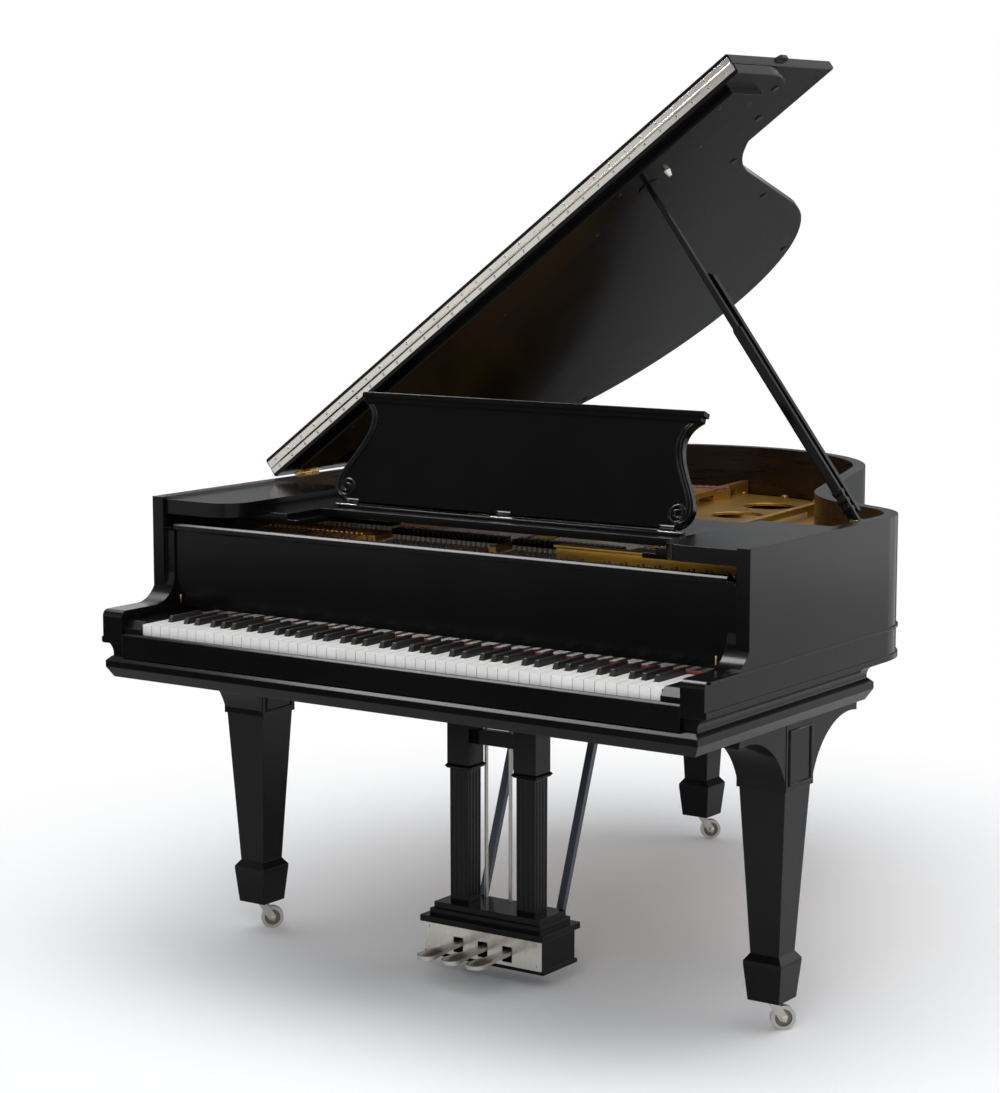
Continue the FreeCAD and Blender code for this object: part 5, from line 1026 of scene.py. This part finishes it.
class PIANO_OT_dampers(bpy.types.Operator):
    """Round the damper heads and add their felts and wires"""

    bl_idname = "piano.dampers"
    bl_label = "Dampers"

    def execute(self, context):
        dress("black_lacquer", "dampers")
        heads, felts, wires = [], [], []
        for group in islands("dampers"):
            low = Vector(min(p[i] for p in group) for i in range(3))
            high = Vector(max(p[i] for p in group) for i in range(3))
            split = low.z + (high.z - low.z) * DAMPER_SPLIT
            heads.append(block(Vector((low.x, low.y, split)), high, DAMPER_ROUND))
            felt_high = Vector((high.x, high.y, split)) - DAMPER_INSET
            felts.append(block(low + DAMPER_INSET, felt_high, DAMPER_FELT_ROUND))
            middle = (low + high) / 2
            foot, tip = (Vector((middle.x, high.y - DAMPER_WIRE_IN, high.z + level))
                         for level in DAMPER_WIRE_LEVELS)
            wires.append(tube(foot, tip, DAMPER_WIRE, sides=6))
        piece = add_piece("damper_heads", gathered(heads), "black_lacquer", "case")
        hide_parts("dampers")
        add_piece("damper_felts", gathered(felts), "white_felt", "case")
        add_piece("damper_wires", gathered(wires), "bright_steel", "case")
        return {"FINISHED"}


class PIANO_OT_lid(bpy.types.Operator):
    """Lacquer the lid and flap, plate the long hinge and add its screws"""

    bl_idname = "piano.lid"
    bl_label = "Lid"

    def leaf_screws(self, behind, direction, turn):
        """Places of the screws in a leaf of the long hinge, each turned further than the one before."""
        line = spread(LEAF_SCREW_REACH, LEAF_SCREWS)
        return [facing(at(x, behind, LEAF_SCREW_LEVEL), direction, turn * i) for i, x in enumerate(line)]

    def execute(self, context):
        dress("black_lacquer", "lid_main", "lid_flap", "lid_batten")
        dress("nickel_plate", "flap_hinge", "lid_fittings")
        down = LID_UP.inverted()
        spine, hinges = at(LID_SPINE, 0, 0).x, at(0, LID_HINGES_BEHIND, 0).y
        left, right = (at(x, 0, 0).x for x in CUP_SIDES)
        front, rear = (at(0, y, 0).y for y in CUP_BEHIND)
        dress_faces("polished_brass", "lid_fittings", lambda c, n: (down @ c).x < spine and c.y > hinges)
        dress_faces("dark_rubber_and_slot_shade", "lid_fittings", lambda c, n: (down @ c).x > spine and c.y > rear)
        dress_faces("black_lacquer", "lid_fittings",
                    lambda c, n: left < (down @ c).x < right and front < c.y < rear)

        places = [LID_UP @ place for place in self.leaf_screws(LID_LEAF, FRONT, LID_LEAF_TURN)]
        add_screws("lid_leaf_screws", places, "nickel_plate", "lid")
        places = [FLAP_UP @ place for place in self.leaf_screws(FLAP_LEAF, REAR, FLAP_LEAF_TURN)]
        add_screws("flap_leaf_screws", places, "nickel_plate", "lid_flap")
        spots = [at(x, behind, BATTEN_UNDER) for behind, row in BATTEN_SCREWS for x in row]
        places = [LID_UP @ facing(spot, DOWN, BATTEN_SCREW_TURN) for spot in spots]
        add_screws("batten_screws", places, "blued_steel", "lid")
        low, high = (at(*corner) for corner in BATTEN_FELT)
        strip = stamped(block(low, high, BATTEN_FELT_ROUND), [LID_UP])
        add_piece("batten_felt", strip, "red_felt", "lid")
        return {"FINISHED"}


class PIANO_OT_hinges(bpy.types.Operator):
    """Polish the butt hinges and the prop's bracket and add the hinges' screws"""

    bl_idname = "piano.hinges"
    bl_label = "Butt hinges"

    def execute(self, context):
        dress("polished_brass", "rim_fittings")
        places = []
        for group in islands("rim_fittings"):
            # The prop's bracket, on the right, has no screws.
            if max(p.x for p in group) > 0:
                continue
            front, rear = min(p.y for p in group), max(p.y for p in group)
            level = max(p.z for p in group) - BUTT_SCREWS_BELOW
            face = min(p.x for p in group if p.z < level)
            for share in BUTT_SCREWS:
                spot = Vector((face, front + (rear - front) * share, level))
                places.append(facing(spot, LEFT, share * BUTT_SCREW_TURN))
        add_screws("butt_hinge_screws", places, "polished_brass", "case")
        return {"FINISHED"}


class PIANO_OT_props(bpy.types.Operator):
    """Lacquer the props, shape the long one and add the nuts on their pivots"""

    bl_idname = "piano.props"
    bl_label = "Props"

    def section(self, z, wide, thick, notch):
        """Outline of the prop at a height: a bar with notched corners."""
        w, t, a, b = wide, thick, thick - notch, wide - notch
        right = [(w, -a), (w, a), (b, a), (b, t)]
        left = [(-b, t), (-b, a), (-w, a), (-w, -a)]
        return [Vector((x, y, z)) for x, y in right + left + [(-b, -a), (-b, -t), (b, -t), (b, -a)]]

    def stick(self, pivot):
        """Long prop: reeded with three collars up to a step, then slim to its tip; drawn over its pivot."""
        upright = PROP_UP.inverted()
        length = max((upright @ vert.co).z for vert in NODES["long_prop"].data.vertices) - pivot.z
        wide, thick, notch = PROP_LOWER
        rings = [self.section(PROP_FOOT, wide, thick, notch)]
        for share in PROP_COLLARS:
            for shift, swell in COLLAR:
                rings.append(self.section(length * share + shift, wide + swell, thick + swell, notch))
        step = length * PROP_STEP
        rings += [self.section(step - PROP_SLOPE, *PROP_LOWER), self.section(step, *PROP_UPPER)]
        rings += [self.section(length, *PROP_TIP)]
        lying = Matrix.Rotation(math.pi / 2, 4, "X")
        eye = stamped(turned(PROP_EYE, sides=28, bored=True), [lying])
        return stamped(gathered([lofted(rings), eye]), [PROP_UP @ Matrix.Translation(pivot)])

    def execute(self, context):
        dress("black_lacquer", "long_prop", "short_prop")
        pivot = joint_point("long_prop_fold")
        piece = add_piece("prop_stick", self.stick(pivot), "black_lacquer", "long_prop", crease=25.0)
        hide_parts("long_prop")
        nut = turned(PROP_NUT, sides=16)
        place = facing(pivot - PROP_NUT_FRONT, FRONT)
        add_piece("prop_nut", stamped(nut, [place]), "nickel_plate", "case")
        swing = joint_point("short_prop_swing")
        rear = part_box("short_prop")[1].y
        place = facing(Vector((swing.x, rear - SHORT_NUT_SUNK, swing.z)), REAR)
        add_piece("short_prop_nut", stamped(nut, [place]), "nickel_plate", "short_prop")
        return {"FINISHED"}


class PIANO_OT_desk(bpy.types.Operator):
    """Lacquer the music desk and shelves, add its sill and carve its beads and scrolls"""

    bl_idname = "piano.desk"
    bl_label = "Music desk"

    def side(self):
        """Right edge of the upright panel, from its head down to the scroll, as (x, z) pairs."""
        upright = DESK_UP.inverted()
        axis = joint_point("desk_tilt")
        low, high = (axis.z + level for level in DESK_LEVELS)
        edge = {}
        for vert in NODES["music_desk"].data.vertices:
            spot = upright @ vert.co
            if low < spot.z < high:
                level = round(spot.z, 4)
                edge[level] = max(edge.get(level, 0.0), spot.x - MIDDLE)
        levels = sorted(edge, reverse=True)
        return [(edge[level], level) for level in levels if edge[level] > DESK_LEAST_SIDE]

    def in_barrel(self, spot):
        """Whether a point is as near to the desk's hinge line as the hinges' barrels reach."""
        axis = joint_point("desk_tilt")
        return (Vector((0, spot.y, spot.z)) - Vector((0, axis.y, axis.z))).length < HINGE_BARREL

    def hinges(self):
        """Middle of each of the desk's hinges along their common axis."""
        corners = (vert.co for vert in NODES["music_desk"].data.vertices)
        near = sorted(spot.x for spot in corners if self.in_barrel(spot))
        groups = [[near[0]]]
        for x in near[1:]:
            if x - groups[-1][-1] > HINGE_SPACING:
                groups.append([])
            groups[-1].append(x)
        return [(group[0] + group[-1]) / 2 for group in groups]

    def sill(self):
        """Moulded strip on the shelf under the desk, with the hinges' leaves let into it."""
        axis = joint_point("desk_tilt")
        spots = self.hinges()
        base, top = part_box("desk_shelf")[0].z + SILL_BASE, axis.z - SILL_UNDER_AXIS
        low = Vector((spots[0] - SILL_END, axis.y - SILL_FRONT, base))
        high = Vector((spots[-1] + SILL_END, axis.y + SILL_REAR, top))
        add_piece("desk_sill", block(low, high, SILL_ROUND), "black_lacquer", "desk_shelf")
        leaves = []
        for x in spots:
            low = Vector((x - LEAF_HALF, axis.y - LEAF_FRONT, top - LEAF_SUNK))
            high = Vector((x + LEAF_HALF, axis.y - LEAF_REAR, top + LEAF_PROUD))
            leaves.append(block(low, high, LEAF_ROUND))
        add_piece("desk_hinge_leaves", gathered(leaves), "nickel_plate", "desk_shelf")

    def side_run(self, sign, inset):
        """Points down one curved side of the desk, then round a scroll at its foot."""
        spots = [(x - inset, z) for x, z in self.side()]
        reach = SCROLL_REACH - inset * SCROLL_FOLLOWS
        centre = Vector((spots[-1][0] - reach, spots[-1][1] - SCROLL_DROP))
        for i in range(SCROLL_POINTS):
            share = i / (SCROLL_POINTS - 1)
            turn, r = SCROLL_TURN * share, reach * (1 - SCROLL_SHRINK * share)
            spots.append((centre.x + r * math.cos(turn), centre.y - r * math.sin(turn)))
        y = joint_point("desk_tilt").y - BEAD_FRONT
        return [DESK_UP @ Vector((MIDDLE + sign * x, y, z)) for x, z in spots]

    def execute(self, context):
        dress("black_lacquer", "music_desk", "desk_shelf", "desk_rails")
        dress("polished_brass", "desk_strut")
        dress_faces("nickel_plate", "music_desk", lambda centre, normal: self.in_barrel(centre))
        self.sill()
        bead = context.scene.piano_sizes.bead
        runs = [self.side_run(sign, inset) for sign in (-1, 1) for inset in BEAD_INSETS]
        add_bead("desk_scrolls", runs, bead, "black_lacquer", "music_desk")
        return {"FINISHED"}


class PIANO_OT_legs(bpy.types.Operator):
    """Lacquer the legs and frame their blocks with beads"""

    bl_idname = "piano.legs"
    bl_label = "Legs"

    def panel(self, leg, out, across):
        """Rectangle of bead on one face of a leg's block."""
        spot = joint_point("caster_%s_swivel" % leg) + out * LEG_HALF
        side = across * (LEG_HALF - LEG_BEAD_INSET)
        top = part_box("leg_" + leg)[1].z
        low, high = (top - depth for depth in LEG_BEAD_DEPTHS)
        corners = [(-1, low), (1, low), (1, high), (-1, high)]
        return [Vector((spot.x, spot.y, 0)) + side * s + Vector((0, 0, z)) for s, z in corners]

    def execute(self, context):
        dress("black_lacquer", "leg_tail", "leg_bass", "leg_treble")
        bead = context.scene.piano_sizes.bead
        for leg in LEGS:
            out, across = (REAR, RIGHT) if leg == "tail" else (RIGHT, REAR)
            runs = [self.panel(leg, out * sign, across) for sign in (-1, 1)]
            add_bead("leg_panels_" + leg, runs, bead, "black_lacquer", "case", closed=True)
        return {"FINISHED"}


class PIANO_OT_casters(bpy.types.Operator):
    """Plate the casters and cap their axles"""

    bl_idname = "piano.casters"
    bl_label = "Casters"

    def execute(self, context):
        nut = turned(AXLE_NUT, sides=16)
        for leg in LEGS:
            dress("satin_nickel", "caster_horn_" + leg, "caster_wheel_" + leg)
            hub = joint_point("caster_%s_roll" % leg)
            axis = Vector(JOINTS["caster_%s_roll" % leg]["axis"]).normalized()

            def dish(centre, normal):
                return (centre - hub).cross(axis).length < DISH_RADIUS

            # The recessed dish of each wheel gets the darker nickel as painted shade.
            dress_faces("nickel_painted_shade", "caster_wheel_" + leg, dish)
            places = [facing(hub + axis * sign * AXLE_END, axis * sign) for sign in (-1, 1)]
            add_piece("axle_nuts_" + leg, stamped(nut, places), "satin_nickel", "caster_horn_" + leg)
        return {"FINISHED"}


class PIANO_OT_lyre(bpy.types.Operator):
    """Finish the lyre, its plate, braces and pedals"""

    bl_idname = "piano.lyre"
    bl_label = "Lyre and pedals"

    def crown(self, pedal):
        """Domed top of a pedal's foot, round in front and slimmer behind."""
        low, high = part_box("pedal_" + pedal)
        x = (low.x + high.x) / 2
        half = (high.x - low.x) / 2 - CROWN_INSET
        z = joint_point("pedal_%s_press" % pedal).z + CROWN_BASE - CROWN_SUNK
        front, rear = low.y + CROWN_FRONT, low.y + CROWN_REAR
        rings = []
        for step in range(CROWN_RINGS):
            share = 1 - step / CROWN_RINGS
            lift = CROWN_RISE * (1 - share * share)
            ring = []
            for i in range(CROWN_POINTS):
                a = 2 * math.pi * i / CROWN_POINTS
                wide = half * (1.0 if math.sin(a) < 0 else 1.0 - CROWN_TAPER * math.sin(a) ** 2)
                y = (front + rear) / 2 + (rear - front) / 2 * math.sin(a) * share
                ring.append(Vector((x + wide * math.cos(a) * share, y, z + lift)))
            rings.append(ring)
        return lofted(rings)

    def execute(self, context):
        dress("black_lacquer", "lyre_frame", "pedal_box")
        dress("brace_paint", "lyre_braces")
        dress("nickel_plate", "pedal_plate")
        for pedal in PEDALS:
            dress("satin_nickel", "pedal_" + pedal, "rod_" + pedal)
            add_piece("pedal_crown_" + pedal, self.crown(pedal), "satin_nickel", "pedal_" + pedal)
        low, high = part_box("pedal_plate")
        spots = [Vector((x, low.y, z)) for x in (low.x + PLATE_SCREW_INSET, high.x - PLATE_SCREW_INSET)
                 for z in (low.z + PLATE_SCREW_INSET, high.z - PLATE_SCREW_INSET)]
        places = [facing(spot, FRONT, PLATE_SCREW_TURN * i) for i, spot in enumerate(spots)]
        add_screws("pedal_plate_screws", places, "nickel_plate", "case")
        return {"FINISHED"}


class PIANO_OT_stage(bpy.types.Operator):
    """Set the floor, the studio light and the camera"""

    bl_idname = "piano.stage"
    bl_label = "Stage"

    def lamp(self, name, spot, aim, size, power, lights_dull):
        """Softbox at a place, turned to what it is aimed at."""
        data = bpy.data.lights.new(name, "AREA")
        data.shape = "RECTANGLE"
        data.size, data.size_y = size
        data.energy = power
        lamp = bpy.data.objects.new(name, data)
        lamp.matrix_world = facing(spot, spot - aim)
        lamp.visible_diffuse = lights_dull
        bpy.context.scene.collection.objects.link(lamp)

    def world(self):
        """Soft grey light all round, seen as plain white."""
        world = bpy.data.worlds.new("studio")
        bpy.context.scene.world = world
        world.use_nodes = True
        tree = world.node_tree
        soft = tree.nodes["Background"]
        soft.inputs["Color"].default_value = WORLD_COLOUR
        soft.inputs["Strength"].default_value = WORLD_STRENGTH
        white = tree.nodes.new("ShaderNodeBackground")
        white.inputs["Strength"].default_value = 1.0
        white.inputs["Color"].default_value = (1.0, 1.0, 1.0, 1.0)
        mix = tree.nodes.new("ShaderNodeMixShader")
        tree.links.new(seen_ray(tree), mix.inputs["Fac"])
        tree.links.new(soft.outputs["Background"], mix.inputs[1])
        tree.links.new(white.outputs["Background"], mix.inputs[2])
        tree.links.new(mix.outputs["Shader"], tree.nodes["World Output"].inputs["Surface"])

    def flag(self, name, left, right, levels, look):
        """Card that shows only in reflections, as a flag in a studio does."""
        points = [Vector((p.x, p.y, z)) for z in levels for p in (left, right)]
        mesh = bpy.data.meshes.new(name)
        mesh.from_pydata([tuple(p) for p in points], [], [(0, 1, 3, 2)])
        mesh.materials.append(finish_named(look))
        card = bpy.data.objects.new(name, mesh)
        card.visible_camera = card.visible_diffuse = card.visible_shadow = False
        bpy.context.scene.collection.objects.link(card)

    def floor(self):
        """Round floor whose top is at the casters' feet."""
        points, faces = turned([(FLOOR_RADIUS, -FLOOR_THICK), (FLOOR_RADIUS, 0.0)], sides=96)
        mesh = bpy.data.meshes.new("floor")
        mesh.from_pydata([tuple(p) for p in points], [], faces)
        mesh.materials.append(finish_named("studio_floor"))
        floor = bpy.data.objects.new("floor", mesh)
        bpy.context.scene.collection.objects.link(floor)

    def camera(self, sizes):
        """Camera that sees the piano as the photograph does."""
        data = bpy.data.cameras.new("camera")
        data.sensor_fit = "HORIZONTAL"
        data.sensor_width = SENSOR
        data.lens = sizes.focal * SENSOR / IMAGE_WIDTH
        data.clip_end = CLIP_END
        camera = bpy.data.objects.new("camera", data)
        away = Vector((sizes.camera_right, -sizes.camera_front, sizes.camera_height))
        camera.location = at(0, 0, 0) + away
        camera.rotation_euler = (math.pi / 2 - sizes.pitch, 0.0, sizes.yaw)
        bpy.context.scene.collection.objects.link(camera)
        bpy.context.scene.camera = camera

    def execute(self, context):
        context.scene.view_settings.view_transform = "Standard"
        self.world()
        self.floor()
        for name, (left, right, levels, look) in FLAGS.items():
            self.flag(name, at(*left, 0), at(*right, 0), levels, look)
        centre = at(*LAMP_CENTRE)
        for name, (spot, aim, *values) in LAMPS.items():
            self.lamp(name, centre + Vector(spot), centre + Vector(aim), *values)
        self.camera(context.scene.piano_sizes)
        return {"FINISHED"}


OPERATORS = (
    PIANO_OT_case, PIANO_OT_frame, PIANO_OT_keyboard, PIANO_OT_fallboard, PIANO_OT_plate, PIANO_OT_strings,
    PIANO_OT_dampers, PIANO_OT_lid, PIANO_OT_hinges, PIANO_OT_props, PIANO_OT_desk, PIANO_OT_legs,
    PIANO_OT_casters, PIANO_OT_lyre, PIANO_OT_stage,
)


class PIANO_PT_panel(bpy.types.Panel):
    """Lists the steps that dress the piano"""

    bl_idname = "PIANO_PT_panel"
    bl_label = "Grand Piano"
    bl_space_type = "VIEW_3D"
    bl_region_type = "UI"
    bl_category = "Piano"

    def draw(self, context):
        column = self.layout.column()
        for operator in OPERATORS:
            column.operator(operator.bl_idname)
        for group in (context.scene.piano_colours, context.scene.piano_sizes):
            for name in group.__annotations__:
                column.prop(group, name)


CLASSES = (PianoColours, PianoSizes) + OPERATORS + (PIANO_PT_panel,)


def register():
    for cls in CLASSES:
        bpy.utils.register_class(cls)
    bpy.types.Scene.piano_colours = PointerProperty(type=PianoColours)
    bpy.types.Scene.piano_sizes = PointerProperty(type=PianoSizes)


def unregister():
    del bpy.types.Scene.piano_sizes
    del bpy.types.Scene.piano_colours
    for cls in reversed(CLASSES):
        bpy.utils.unregister_class(cls)


def main():
    register()
    bpy.ops.piano.case()
    bpy.ops.piano.frame()
    bpy.ops.piano.keyboard()
    bpy.ops.piano.fallboard()
    bpy.ops.piano.plate()
    bpy.ops.piano.strings()
    bpy.ops.piano.dampers()
    bpy.ops.piano.lid()
    bpy.ops.piano.hinges()
    bpy.ops.piano.props()
    bpy.ops.piano.desk()
    bpy.ops.piano.legs()
    bpy.ops.piano.casters()
    bpy.ops.piano.lyre()
    bpy.ops.piano.stage()


if __name__ == "__main__":
    main()
